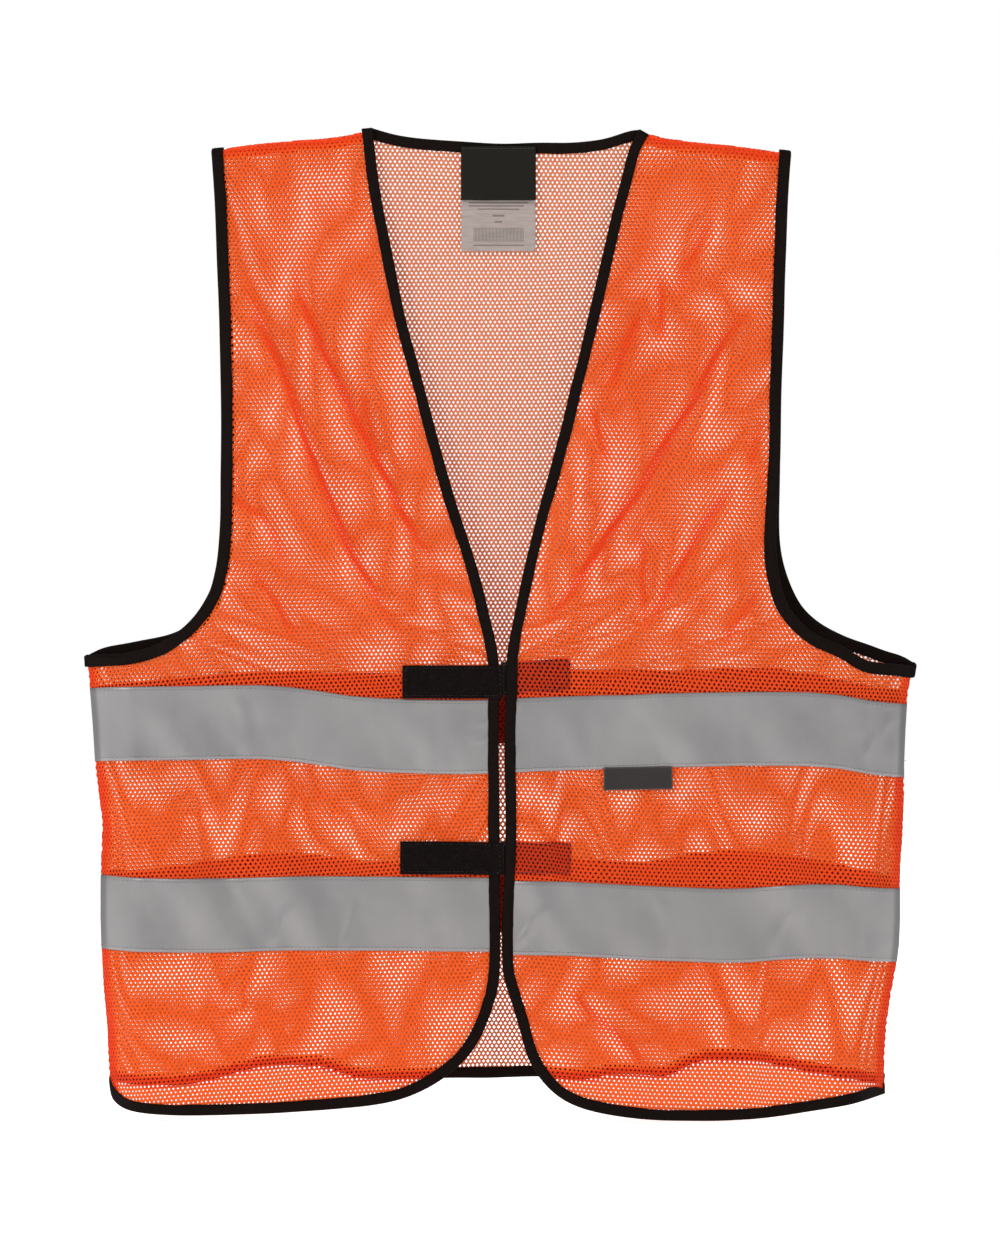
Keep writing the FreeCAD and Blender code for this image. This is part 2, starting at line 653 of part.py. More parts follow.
def add_neck_label(label, y, height_alias):
    """A woven label: a dimensioned rectangle, padded, with softened corners.
    y is its front face."""
    body = doc.addObject("PartDesign::Body", label + "_body")
    sketch = body.newObject("Sketcher::SketchObject", label + "_sketch")
    plane = [item for item in body.Origin.OriginFeatures if item.Role == "XZ_Plane"][0]
    sketch.AttachmentSupport = [(plane, "")]
    sketch.MapMode = "FlatFace"
    doc.recompute()
    # a 10 mm square that the two driving constraints then resize
    corners = [Vector(0, 0, 0), Vector(10, 0, 0), Vector(10, 10, 0), Vector(0, 10, 0)]
    for i in range(4):
        sketch.addGeometry(Part.LineSegment(corners[i], corners[(i + 1) % 4]), False)
    for i in range(4):
        sketch.addConstraint(Sketcher.Constraint("Coincident", i, 2, (i + 1) % 4, 1))
    for i, kind in enumerate(("Horizontal", "Vertical", "Horizontal", "Vertical")):
        sketch.addConstraint(Sketcher.Constraint(kind, i))
    sketch.addConstraint(Sketcher.Constraint("Coincident", 0, 1, -1, 1))
    width = sketch.addConstraint(Sketcher.Constraint("DistanceX", 0, 1, 0, 2, 10.0))
    height = sketch.addConstraint(Sketcher.Constraint("DistanceY", 1, 1, 1, 2, 10.0))
    sketch.setExpression("Constraints[%d]" % width, "dims.label_w")
    sketch.setExpression("Constraints[%d]" % height, "dims." + height_alias)

    pad = body.newObject("PartDesign::Pad", label + "_pad")
    pad.Profile = sketch
    pad.setExpression("Length", "dims.label_t")
    doc.recompute()
    corner_edges = ["Edge%d" % i for i, edge in enumerate(pad.Shape.Edges, 1)
                    if abs(edge.Length - dims.label_t) < 1e-6]
    fillet = body.newObject("PartDesign::Fillet", label + "_corners")
    fillet.Base = (pad, corner_edges)
    fillet.Radius = dims.label_r
    doc.recompute()

    box = body.Shape.BoundBox
    z = dims.label_z - getattr(dims, height_alias)
    move = Vector(dims.label_x - box.XMin, y - box.YMin, z - box.ZMin)
    body.Placement = FreeCAD.Placement(move, FreeCAD.Rotation())
    doc.recompute()
    node(body, label)


def add_neck_labels():
    """Two labels in front of the back neck binding, and one stitch row on them."""
    binding_y = dims.back_y - dims.lay_gap - dims.bind_t
    care_y = binding_y - dims.lay_gap - dims.label_t
    brand_y = care_y - dims.lay_gap - dims.label_t
    row_y = brand_y - dims.lay_gap - dims.thread_t
    add_neck_label("care_label", care_y, "care_h")
    add_neck_label("brand_label", brand_y, "brand_h")
    corner = Vector(dims.label_x + dims.label_row_in, row_y, dims.label_z - dims.label_row_drop)
    row = Part.makeBox(dims.label_w - 2 * dims.label_row_in, dims.thread_t, dims.thread_w, corner)
    node(feature("label_row", row), "label_stitching")


def add_chest_label(surface):
    """A label on the outside of the left front, just below the upper tape."""
    layer = slab("tab_sheet", surface, "dims.label_t",
                 "-(2 * dims.lay_gap + dims.tape_t + dims.thread_t + dims.tab_air + dims.label_t)")
    top = dims.tape_hi - dims.tab_drop
    area = rect(dims.tab_x, top - dims.tab_h, dims.tab_x + dims.tab_w, top)
    node(common("tab", layer, prism("tab_area", area)), "chest_label")


# ---------------------------------------------------------------- build

fronts = {}
for sign, name in SIDES:
    front = new_front(sign, name)
    add_front_panel(front)
    add_front_tapes(front)
    add_front_bindings(front)
    fronts[name] = front

add_back_panel()
node(flat_binding("neck", NECK_BACK), "back_neck_binding")
node(flat_binding("hem", HEM_BACK), "back_hem_binding")
for front in fronts.values():
    add_armhole_binding(front)
add_back_tapes()
for sign, name in SIDES:
    add_seam_allowances(sign, name)

add_loop_strips(fronts["right"].surface)
add_hook_strips(fronts["left"].surface)
add_neck_labels()
add_chest_label(fronts["left"].surface)

# ---------------------------------------------------------------- checks and export

doc.recompute()
bad = []
for obj in doc.Objects:
    if any(state in ("Invalid", "Error") for state in obj.State):
        bad.append("%s: %s" % (obj.Label, obj.State))
for obj in NODES:
    shape = obj.Shape
    if shape.isNull() or not shape.isValid() or not shape.Solids:
        bad.append("%s: shape null, invalid or without a solid" % obj.Label)
if bad:
    raise RuntimeError("; ".join(bad[:12]))

os.makedirs("parts", exist_ok=True)
for obj in NODES:
    solids = obj.Shape.Solids
    piece = solids[0] if len(solids) == 1 else Part.makeCompound(solids)
    piece.exportStep("parts/%s.step" % obj.Label)
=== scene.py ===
"""Orange mesh safety vest: silver tapes, black bound edges, hook-and-loop closure and labels.

The vest stands upright along Z with its hem near z = 0. The wearer's right is -X and the
front is -Y. Shapes are worked out in millimetres and written in metres.
"""
import bpy
import functools
import math
import numpy as np
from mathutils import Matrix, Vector


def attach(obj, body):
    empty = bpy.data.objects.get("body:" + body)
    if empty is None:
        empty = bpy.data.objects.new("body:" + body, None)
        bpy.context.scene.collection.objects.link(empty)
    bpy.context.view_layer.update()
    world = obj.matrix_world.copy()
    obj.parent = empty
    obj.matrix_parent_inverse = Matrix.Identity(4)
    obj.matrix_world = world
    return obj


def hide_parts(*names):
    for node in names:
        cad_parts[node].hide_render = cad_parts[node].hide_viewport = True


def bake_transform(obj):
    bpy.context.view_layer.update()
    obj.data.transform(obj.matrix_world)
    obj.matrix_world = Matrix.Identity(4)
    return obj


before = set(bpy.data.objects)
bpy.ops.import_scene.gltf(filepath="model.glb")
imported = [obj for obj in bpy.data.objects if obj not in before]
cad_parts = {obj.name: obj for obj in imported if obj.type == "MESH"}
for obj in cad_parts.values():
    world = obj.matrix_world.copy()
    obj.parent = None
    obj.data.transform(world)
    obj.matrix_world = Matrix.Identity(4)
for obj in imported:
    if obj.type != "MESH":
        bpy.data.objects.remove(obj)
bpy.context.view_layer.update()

# ---------------------------------------------------------------- sizes, mm
MM = 0.001
SIDES = (("right", -1.0), ("left", 1.0))     # side and the sign of its x
LEVELS = ("upper", "lower")

BACK_Y, SEAM_GAP, MESH_THICK = 18.33, 2.2, 0.8
BACK_MID = BACK_Y + MESH_THICK / 2
FRONT_SEAM_Y = BACK_Y - SEAM_GAP - MESH_THICK / 2
DEPTH_TOP, DEPTH_HEM, CROWN = 3.0, 25.0, 7.0    # how far the fronts stand forward
SIDE_ROLL, SHOULDER_ROLL = 30.0, 40.0           # widths over which they turn back
NECK_Z, HALF_CHEST, ARMPIT_Z = 675.6, 282.4, 314.1
NECK_TIP, SHOULDER_TIP = (90.0, NECK_Z), (198.5, 658.6)    # |x|, z
FOLD_TOP, FOLD_HEM = (84.0, 648.0), (232.0, 2.1)           # slanting line of a front: |x|, z

# The knit is a staggered lattice of six-sided cells, each with a hole.
PITCH, ROW = 3.04, 2.565
CORNER_RISE = 2.24                     # cell middle to its top and bottom corners
HOLE = {"front": 0.49, "back": 0.53}   # hole size as a share of its cell
THREAD = 0.86                          # thickness of the knit at its ridges
HALF_THREAD = THREAD / 2

BIND_W, ARM_BIND_W = 7.4, 8.1
BIND_FRONT, BIND_REAR, ARM_BIND_REAR, BIND_SKIN = 1.28, 1.05, 0.95, 0.46
BIND_STITCH_OUT, BIND_STITCH_IN = 1.34, -1.08
EDGE_INSET = 1.3                       # the knit stops this far inside a bound edge
TAPE_W, TAPE_SHADOW, TAPE_HALF = 49.8, 50.0, 25.0
TAPE_OUT, TAPE_IN = HALF_THREAD + 0.50, HALF_THREAD + 0.12
TAPE_ROW_INSET = 2.3                   # stitched rows from the tape's edges
HEM_LIFT, HEM_LIFT_BELOW = 2.6, 70.0   # lines below this height are raised towards the hem

rng = np.random.default_rng(20)


def smooth(t):
    t = np.clip(t, 0, 1)
    return t * t * (3 - 2 * t)


def line(*points):
    """(x, z) points, with the lowest part raised."""
    points = np.array(points, float)
    z = points[:, 1]
    points[:, 1] = z + HEM_LIFT * smooth((HEM_LIFT_BELOW - z) / HEM_LIFT_BELOW)
    return points


# ---------------------------------------------------------------- outlines: (x, z)
# Front edges, from the neck down the middle and along the hem to the side seam.
EDGE = {
    "right": line(
        (-86.4,671.4125), (-85.3875,661.625), (-83.3625,644.075), (-78.6375,614.375),
        (-74.5875,594.125), (-70.5375,573.875), (-66.4875,553.625), (-61.7625,533.375),
        (-56.025,513.125), (-50.625,492.875), (-45.225,472.625), (-39.825,452.375),
        (-34.0875,432.125), (-28.0125,411.875), (-21.2625,391.625), (-16.5375,376.775),
        (-10.8,356.525), (-5.7375,334.925), (-2.4975,320.75), (-0.675,305.225),
        (-0.4725,283.625), (-0.81,256.625), (-0.54,229.625), (-0.27,195.875), (0,162.125),
        (0.2025,128.375), (0.135,106.775), (-0.675,94.625), (-2.565,84.5), (-5.7375,74.375),
        (-9.45,64.25), (-14.175,54.125), (-20.5875,44), (-30.0375,33.875),
        (-43.875,23.4125), (-62.775,13.9625), (-81,9.2375), (-101.25,6.5375),
        (-121.5,4.715), (-141.75,3.5), (-162,2.285), (-182.25,1.475), (-202.5,1.07),
        (-222.75,1.205), (-243,2.6225), (-255.825,5.66), (-262.2375,10.925),
        (-264.195,18.35)),
    "left": line(
        (94.5,670.4), (89.1,660.275), (85.05,648.125), (81.675,634.625), (76.275,614.375),
        (71.55,594.125), (66.825,573.875), (62.1,553.625), (57.375,533.375),
        (52.65,513.125), (47.25,492.875), (42.525,472.625), (37.125,452.375),
        (31.725,432.125), (25.9875,411.875), (20.925,391.625), (17.55,378.125),
        (12.825,356.525), (8.4375,334.925), (6.2775,324.125), (4.725,313.325),
        (4.185,297.125), (3.375,276.875), (2.97,256.625), (3.105,236.375), (3.645,209.375),
        (3.5775,189.125), (2.7,162.125), (1.62,145.25), (1.2825,125), (1.485,106.775),
        (2.7,95.975), (6.2775,84.5), (9.45,74.375), (12.4875,64.25), (15.1875,54.125),
        (18.0225,44), (22.6125,33.875), (29.7,23.75), (40.5,13.625), (54,6.875),
        (68.85,2.825), (87.75,-0.2125), (108,-1.9), (128.25,-2.305), (148.5,-2.305),
        (168.75,-1.495), (189,0.5975), (209.25,3.77), (229.5,7.28), (248.4,11.195),
        (260.55,14.165)),
}
# Side seams, upwards.
SIDE = {
    "right": line(
        (-264.195,18.35), (-264.9375,30.5), (-265.7475,47.375), (-266.085,60.875),
        (-267.3,74.375), (-268.65,87.875), (-269.325,101.375), (-270.135,118.25),
        (-270.675,135.125), (-270.675,155.375), (-270.54,172.25), (-270.135,185.75),
        (-269.73,199.25), (-271.215,214.1), (-272.7,226.25), (-274.05,236.375),
        (-275.0625,253.25), (-276.075,268.775), (-277.425,285.65), (-278.4375,297.125),
        (-279.45,309.275), (-279.45,314)),
    "left": line(
        (260.55,14.165), (260.2125,27.125), (261.225,50.75), (262.2375,64.25),
        (263.925,77.75), (266.2875,91.25), (268.65,104.75), (270.3375,118.25),
        (271.0125,135.125), (271.0125,155.375), (271.35,172.25), (272.7,189.125),
        (273.375,206), (273.915,222.875), (273.78,239.75), (274.725,263.375),
        (275.805,280.25), (277.0875,291.725), (278.775,300.5), (279.7875,309.275)),
}
# Armholes, from the side seam up to the shoulder.
ARM_FRONT = {
    "right": line(
        (-279.45,314), (-267.3,314.27), (-256.5,314.945), (-245.7,316.7), (-236.25,319.4),
        (-228.15,323.045), (-220.725,327.77), (-213.975,332.9), (-208.575,338.165),
        (-203.85,344.0375), (-199.8,350.45), (-196.0875,357.875), (-193.725,365.975),
        (-191.7,376.1), (-190.35,388.25), (-189.3375,405.125), (-189,432.125),
        (-188.7975,472.625), (-189.3375,506.375), (-190.35,546.875), (-192.0375,587.375),
        (-193.3875,621.125), (-194.7375,641.375), (-195.75,654.5375)),
    "left": line(
        (279.7875,306.575), (271.35,307.52), (263.25,308.195), (255.15,309.005),
        (248.4,310.355), (242.325,313.325), (236.25,317.375), (229.5,321.02),
        (220.05,324.8), (210.6,330.2), (204.525,335.33), (199.4625,341),
        (195.4125,346.7375), (191.7,355.175), (189,365.975), (187.245,378.125),
        (186.705,391.625), (187.65,411.875), (189,432.125), (189.945,459.125),
        (190.35,486.125), (191.295,513.125), (192.375,540.125), (193.05,567.125),
        (194.0625,594.125), (195.075,621.125), (196.425,641.375), (197.4375,652.85)),
}
ARM_BACK = {
    "right": line(
        (-279.45,314), (-269.325,318.725), (-256.5,321.425), (-242.325,324.125),
        (-229.5,326.6225), (-218.7,330.2), (-211.275,334.925), (-206.2125,340.325),
        (-202.1625,345.725), (-198.7875,351.125), (-195.75,357.875), (-193.3875,366.65),
        (-191.025,376.775), (-189.54,388.25), (-188.7975,405.125), (-188.46,432.125),
        (-188.325,472.625), (-188.7975,506.375), (-189.945,546.875), (-191.7,587.375),
        (-193.05,621.125), (-194.4,641.375), (-195.4125,654.5375)),
    "left": line(
        (279.7875,309.275), (274.05,312.65), (263.25,316.295), (249.75,321.155),
        (237.6,325.34), (228.15,329.525), (218.3625,334.925), (210.9375,340.6625),
        (205.5375,346.4), (199.4625,356.525), (195.075,367.325), (191.97,378.125),
        (189.945,391.625), (189.54,411.875), (189.945,432.125), (190.35,459.125),
        (190.755,486.125), (191.7,513.125), (192.645,540.125), (193.32,567.125),
        (194.265,594.125), (195.345,621.125), (196.56,641.375), (197.4375,652.85)),
}
# Shoulder seams, from the armhole to the neck.
SHOULDER = {
    "right": line((-195.75,654.875), (-182.25,657.98), (-132.3,663.245), (-101.25,666.89),
                  (-86.4,670.0625)),
    "left": line((197.775,653.1875), (185.625,655.55), (163.35,658.655), (128.25,662.3),
                 (104.625,666.215), (94.5,669.3875)),
}
NECK_BACK = line(
    (-86.4,671.4125), (-81,669.725), (-70.875,667.025), (-60.75,665.27), (-40.5,663.38),
    (-20.25,662.03), (3.375,660.95), (27,661.625), (47.25,661.625), (60.75,662.705),
    (70.875,664.325), (81,667.3625), (89.1,669.725), (94.5,670.4))
HEM_BACK = line(
    (-264.87,25.1), (-256.5,21.725), (-239.625,20.375), (-222.75,19.7), (-207.9,21.05),
    (-195.75,23.75), (-181.575,28.07), (-164.7,32.525), (-139.725,34.28), (-120.825,33.2),
    (-106.65,28.475), (-94.5,24.7625), (-81,24.83), (-55.35,24.425), (-33.75,25.1),
    (-10.125,25.1), (22.275,26.1125), (39.15,25.505), (60.75,24.425), (74.25,27.395),
    (87.75,27.8), (104.625,26.72), (114.075,26.72), (123.525,31.85), (136.35,36.98),
    (152.55,38.465), (177.525,36.44), (205.2,30.5), (226.125,26.45), (239.625,24.155),
    (250.425,21.725), (260.55,20.375))

# Hook-and-loop strips: left x, right x, bottom, top, tilt in degrees.
LOOPS = {"upper": (-65.8125, 2.025, 284.57, 306.98, 0.0),
         "lower": (-67.1625, 2.16, 166.175, 188.45, -0.4)}
HOOKS = {"upper": (0.405, 47.5875, 287.0, 309.275, 3.2),
         "lower": (0.6075, 48.2625, 165.8375, 188.45, -0.4)}

# Tapes of the fronts: x, top of the upper tape, top of the lower tape.
FRONT_TAPES = {
    "right": np.array([
        (-280.8,291.3875,166.175), (-263.25,292.265,164.4875), (-243,292.535,163.475),
        (-216,292.8725,162.935), (-182.25,293.5475,163.2725), (-162,293.615,164.015),
        (-141.75,292.1975,164.555), (-121.5,289.4975,164.69), (-101.25,286.325,164.6225),
        (-81,284.7725,164.6225), (-60.75,284.03,164.4875), (-40.5,283.625,164.15),
        (-20.25,283.49,164.015), (1.35,284.3,163.8125)]),
    "left": np.array([
        (0,284.3,162.4625), (13.5,284.84,161.72), (27,285.4475,161.45),
        (47.25,286.1225,161.2475), (67.5,286.73,160.1), (87.75,287,158.75),
        (108,287.945,157.805), (128.25,288.35,156.995), (148.5,288.755,156.185),
        (168.75,289.025,156.59), (189,289.025,158.21), (209.25,288.755,159.29),
        (229.5,287,159.02), (249.75,283.22,157.13), (263.25,281.6,156.05),
        (282.15,280.25,155.375)]),
}
# Top edge of every tape.
TAPE_TOP = {(side, level): rows[:, [0, k + 1]]
            for side, rows in FRONT_TAPES.items() for k, level in enumerate(LEVELS)}
TAPE_TOP["back", "upper"] = line(
    (-280.8,292.4), (-263.25,294.425), (-224.1,298.475), (-194.4,301.175),
    (-165.375,303.2), (-144.45,302.8625), (-114.75,301.85), (-67.5,301.85), (-20.25,303.2),
    (47.925,304.55), (94.5,303.875), (124.2,303.875), (148.5,304.55), (164.025,305.495),
    (186.3,304.955), (215.325,300.5), (237.6,295.775), (259.2,291.725), (282.15,288.35))
TAPE_TOP["back", "lower"] = line(
    (-280.8,166.175), (-269.325,168.2), (-249.75,168.2), (-230.85,169.55),
    (-209.25,172.5875), (-194.4,175.625), (-168.075,178.73), (-144.45,179.675),
    (-121.5,178.325), (-95.175,174.95), (-68.175,174.275), (-13.5,174.95), (48.6,176.03),
    (72.9,174.95), (94.5,173.6), (112.05,175.625), (130.95,179.945), (156.6,181.7),
    (178.875,180.35), (201.15,177.65), (225.45,172.925), (245.025,168.875),
    (266.625,164.15), (282.15,162.125))

# Folds of the fronts: height, half width, line. The first sixteen are long and soft.
FOLD_TABLE = [
    (4.8, 7.5, line(
        (-177.525,582.65), (-167.4,553.625), (-157.95,528.65), (-147.15,506.375),
        (-139.725,484.775), (-130.275,455.75), (-120.15,430.775), (-110.025,405.125),
        (-101.25,384.875), (-89.775,364.625), (-76.95,343.025), (-62.1,314))),
    (4.4, 7.5, line(
        (-141.75,594.125), (-136.35,560.375), (-126.9,536.75), (-116.775,513.125),
        (-104.625,488.15), (-91.8,462.5), (-79.65,438.875), (-66.15,410.525),
        (-49.275,383.525), (-30.375,357.875))),
    (2.4, 7.0, line((-93.825,496.25), (-88.425,467.225), (-82.35,444.275))),
    (1.8, 7.0, line((-163.35,653.525), (-158.625,621.125), (-153.9,591.425))),
    (1.4, 7.0, line((-151.875,650.825), (-148.5,621.125), (-145.8,594.125))),
    (2.5, 7.0, line((-174.825,459.125), (-178.2,418.625), (-162.675,409.175),
                    (-151.875,392.975), (-142.425,365.975))),
    (2.5, 7.0, line((-171.45,374.75), (-152.55,351.125), (-139.05,324.125))),
    (5.2, 8.5, line(
        (180.9,563.075), (162.675,541.475), (145.8,516.5), (130.95,486.125),
        (113.4,460.475), (97.875,432.125), (78.3,403.775), (60.75,376.775),
        (42.525,349.775), (17.55,320.075))),
    (2.5, 8.5, line((145.8,615.725), (129.6,581.975), (117.45,556.325))),
    (2.6, 7.0, line((108,575.225), (109.35,545.525), (110.7,519.875))),
    (3.0, 9.0, line((99.225,550.25), (82.35,518.525), (72.9,488.825))),
    (2.3, 7.0, line((60.075,486.125), (66.15,465.875), (73.575,444.275))),
    (3.6, 8.0, line((166.05,440.225), (143.1,409.85), (125.55,380.825), (111.375,353.825),
                    (94.5,328.175))),
    (2.4, 7.0, line((95.175,410.525), (96.525,371.375), (98.55,329.525))),
    (2.4, 7.5, line((178.2,361.25), (163.35,341.675), (148.5,318.725))),
    (2.3, 7.0, line((176.85,478.025), (172.8,455.75), (167.4,433.475))),
    # creases around the tapes
    (1.3, 3.2, line((-156.6,114.875), (-148.5,131.75), (-139.05,148.625))),
    (1.2, 3.4, line((-107.325,111.5), (-101.25,131.75), (-97.2,151.325))),
    (1.5, 2.8, line((10.125,114.875), (21.6,131.75), (33.075,146.6))),
    (0.9, 2.2, line((6.75,274.175), (13.5,283.625))),
    (1.1, 4.5, line((104.625,156.725), (113.4,131.75), (110.7,104.75))),
    (1.0, 4.0, line((178.875,108.125), (187.65,128.375), (202.5,145.25))),
    (1.1, 4.0, line((244.35,239.75), (255.15,260), (267.975,275.525))),
    (0.9, 4.5, line((-180.9,289.025), (-171.45,266.75), (-173.475,245.15))),
    (0.7, 1.8, line((-20.25,255.275), (-6.75,257.975))),
    (0.6, 1.6, line((-18.9,266.75), (-6.75,268.775))),
    # broad folds near the hem and between the tapes
    (2.2, 8.0, line((-199.125,81.125), (-160.65,73.025), (-122.85,87.875))),
    (2.4, 8.0, line((40.5,91.25), (75.6,60.875), (101.25,32.525))),
    (2.0, 8.0, line((135,81.125), (163.35,54.125), (210.6,40.625))),
    (1.6, 7.0, line((-243,222.875), (-209.25,208.025), (-168.75,216.125))),
    (1.6, 7.0, line((-114.75,222.875), (-86.4,208.025), (-47.25,216.125))),
    (1.5, 7.0, line((67.5,206), (108,216.125), (148.5,201.275))),
]


# ---------------------------------------------------------------- plane geometry
def run_length(path):
    return np.r_[0, np.cumsum(np.hypot(*np.diff(path, axis=0).T))]


def spline(points, step):
    """Even points, about step apart, on a natural cubic spline."""
    knots = run_length(points)
    count = len(points)
    gaps = np.diff(knots)
    matrix = np.zeros((count, count))
    right = np.zeros((count, 2))
    matrix[0, 0] = matrix[-1, -1] = 1
    for i in range(1, count - 1):
        before, after = gaps[i - 1], gaps[i]
        matrix[i, i - 1:i + 2] = before, 2 * (before + after), after
        right[i] = 6 * ((points[i + 1] - points[i]) / after - (points[i] - points[i - 1]) / before)
    bend = np.linalg.solve(matrix, right)
    fine = np.linspace(0, knots[-1], max(4, int(knots[-1] / 0.4)))
    k = np.clip(np.searchsorted(knots, fine) - 1, 0, count - 2)
    gap = gaps[k][:, None]
    to_next, past = (knots[k + 1] - fine)[:, None], (fine - knots[k])[:, None]
    path = (bend[k] * to_next ** 3 / (6 * gap) + bend[k + 1] * past ** 3 / (6 * gap)
            + (points[k] / gap - bend[k] * gap / 6) * to_next
            + (points[k + 1] / gap - bend[k + 1] * gap / 6) * past)
    run = run_length(path)
    even = np.linspace(0, run[-1], max(3, int(round(run[-1] / step)) + 1))
    return np.stack([np.interp(even, run, path[:, 0]), np.interp(even, run, path[:, 1])], 1)


def unit(vectors):
    return vectors / np.maximum(1e-9, np.linalg.norm(vectors, axis=-1, keepdims=True))


def tangents(path):
    return unit(np.gradient(path, axis=0))


def path_normals(path, on_left):
    """Normals towards the cloth, which lies on the left or the right of the path."""
    heading = tangents(path)
    return np.stack([-heading[:, 1], heading[:, 0]], 1) * (1 if on_left else -1)


def inset(path, on_left):
    return path + path_normals(path, on_left) * EDGE_INSET


def outline(*chains):
    """One polygon from chains that meet end to end."""
    return np.concatenate([chain[:-1] for chain in chains[:-1]] + [chains[-1]])


def inside(polygon, points):
    x, y = points.T
    hit = np.zeros(len(points), bool)
    for (x0, y0), (x1, y1) in zip(polygon, np.roll(polygon, -1, axis=0)):
        if y0 == y1:
            continue
        hit ^= ((y0 > y) != (y1 > y)) & (x < (x1 - x0) * (y - y0) / (y1 - y0) + x0)
    return hit


def nearest(path, points, closed):
    """Nearest point of a path to each point, and the distance."""
    starts = path if closed else path[:-1]
    ends = np.roll(path, -1, axis=0) if closed else path[1:]
    best = np.full(len(points), 1e18)
    found = np.zeros_like(points)
    for start, end in zip(starts, ends):
        span = end - start
        share = np.clip(((points - start) @ span) / max(1e-12, span @ span), 0, 1)[:, None]
        spot = start + share * span
        gap = ((points - spot) ** 2).sum(1)
        closer = gap < best
        best[closer] = gap[closer]
        found[closer] = spot[closer]
    return found, np.sqrt(best)


@functools.lru_cache(maxsize=None)
def noise_table(seed):
    return np.random.default_rng(seed).uniform(-1, 1, (257, 257))


def noise(x, y, seed):
    """Smooth value noise in -1..1."""
    table = noise_table(seed)
    x, y = np.asarray(x, float) + 1000.0, np.asarray(y, float) + 1000.0
    i, j = np.floor(x).astype(int), np.floor(y).astype(int)
    u, v = x - i, y - j
    u, v = u * u * u * (u * (6 * u - 15) + 10), v * v * v * (v * (6 * v - 15) + 10)
    i, j = i % 256, j % 256
    return ((table[i, j] * (1 - u) + table[i + 1, j] * u) * (1 - v)
            + (table[i, j + 1] * (1 - u) + table[i + 1, j + 1] * u) * v)


# ---------------------------------------------------------------- the cloth's surfaces
FOLD_LINES = [(height, width, spline(path, 7.0) if len(path) > 2 else path)
              for height, width, path in FOLD_TABLE]
FOLD_DIR = np.subtract(FOLD_HEM, FOLD_TOP)
FOLD_DIR = FOLD_DIR / np.linalg.norm(FOLD_DIR)


def side_x(side, z):
    """Distance of a side seam from the middle."""
    return np.interp(z, SIDE[side][:, 1], np.abs(SIDE[side][:, 0]))


def depth(side, from_mid, z):
    """How far a front stands forward of the seams, without its wrinkles."""
    edge = side_x(side, z)
    above = np.maximum(edge, HALF_CHEST) - from_mid + np.maximum(0, z - ARMPIT_Z)
    from_side = np.where(z <= ARMPIT_Z, edge - from_mid, above)
    run, rise = SHOULDER_TIP[0] - NECK_TIP[0], SHOULDER_TIP[1] - NECK_TIP[1]
    from_shoulder = (((z - NECK_TIP[1]) * -run + (from_mid - NECK_TIP[0]) * rise)
                     / math.hypot(run, rise))
    down = np.clip((NECK_Z - z) / NECK_Z, 0, 1.05)
    from_fold = (from_mid - FOLD_TOP[0]) * FOLD_DIR[1] - (z - FOLD_TOP[1]) * FOLD_DIR[0]
    side_turn = np.sin(np.pi / 2 * np.clip(from_side / SIDE_ROLL, 0, 1))
    shoulder_turn = np.sin(np.pi / 2 * np.clip(from_shoulder / SHOULDER_ROLL, 0, 1))
    crown = CROWN * smooth(from_fold / 180.0)
    return (DEPTH_TOP + DEPTH_HEM * down + crown) * side_turn * shoulder_turn


def near_folds(points, folds, spread, reach, fade, start):
    """For each fold: its height and width, which points are near, their nearest points on
    its line and its strength there. The strength fades towards the fold's ends."""
    for height, half_width, path in folds:
        width = spread * half_width
        low, high = path.min(0) - reach * width, path.max(0) + reach * width
        near = ((points > low) & (points < high)).all(1)
        if not near.any():
            continue
        spot, gap = nearest(path, points[near], closed=False)
        run = np.hypot(*(path[-1] - path[0]))
        from_end = np.minimum(np.hypot(*(spot - path[0]).T), np.hypot(*(spot - path[-1]).T))
        strength = np.exp(-(gap / width) ** 2) * smooth(from_end / (fade * run) + start)
        yield height, half_width, near, spot, strength


def fold_fields(x, z):
    """Height of the folds, and how far each draws the knit in towards its middle line."""
    points = np.stack([np.ravel(x), np.ravel(z)], 1).astype(float)
    total, pull = np.zeros(len(points)), np.zeros((len(points), 2))
    for height, width, near, spot, strength in near_folds(
            points, FOLD_LINES, spread=1.0, reach=3.4, fade=0.30, start=0.04):
        total[near] += height * strength
        if width > 5:
            pull[near] += (spot - points[near]) * (0.085 * height * strength)[:, None]
    return total.reshape(np.shape(x)), pull.reshape(np.shape(x) + (2,))


def fold_creases(x, z):
    """1 on the crease of each large fold, falling to 0 beside it."""
    large = [fold for fold in FOLD_LINES if fold[0] >= 2.3 and fold[1] >= 7]
    crease = np.zeros(len(x))
    for height, _, near, _, strength in near_folds(
            np.stack([x, z], 1), large, spread=0.42, reach=3, fade=0.25, start=0.0):
        crease[near] = np.maximum(crease[near], strength * min(1.0, height / 4.2))
    return crease


def wrinkles(x, z):
    """Outward height of the fronts' wrinkles."""
    height, _ = fold_fields(x, z)
    low = smooth((300 - z) / 60)
    # hanging ripples under the chest, softer shapes above, and a rippled hem
    height += low * (1.9 * noise(x / 34 + 0.02 * z, z / 190, 3)
                     + 0.8 * noise(x / 16 + 0.03 * z, z / 80, 4))
    height += (1 - 0.6 * low) * (1.5 * noise(x / 62, z / 80, 5)
                                 + 0.6 * noise(x / 23 + z / 60, z / 36 - x / 70, 6))
    height += smooth((60 - z) / 60) * 1.6 * noise(x / 30, z / 120, 8)
    return height


def front_y(side, x, z):
    """Middle of the mesh of a front."""
    forward = depth(side, np.abs(x), z)
    return FRONT_SEAM_Y - forward - wrinkles(x, z) * smooth(forward / 9.0)


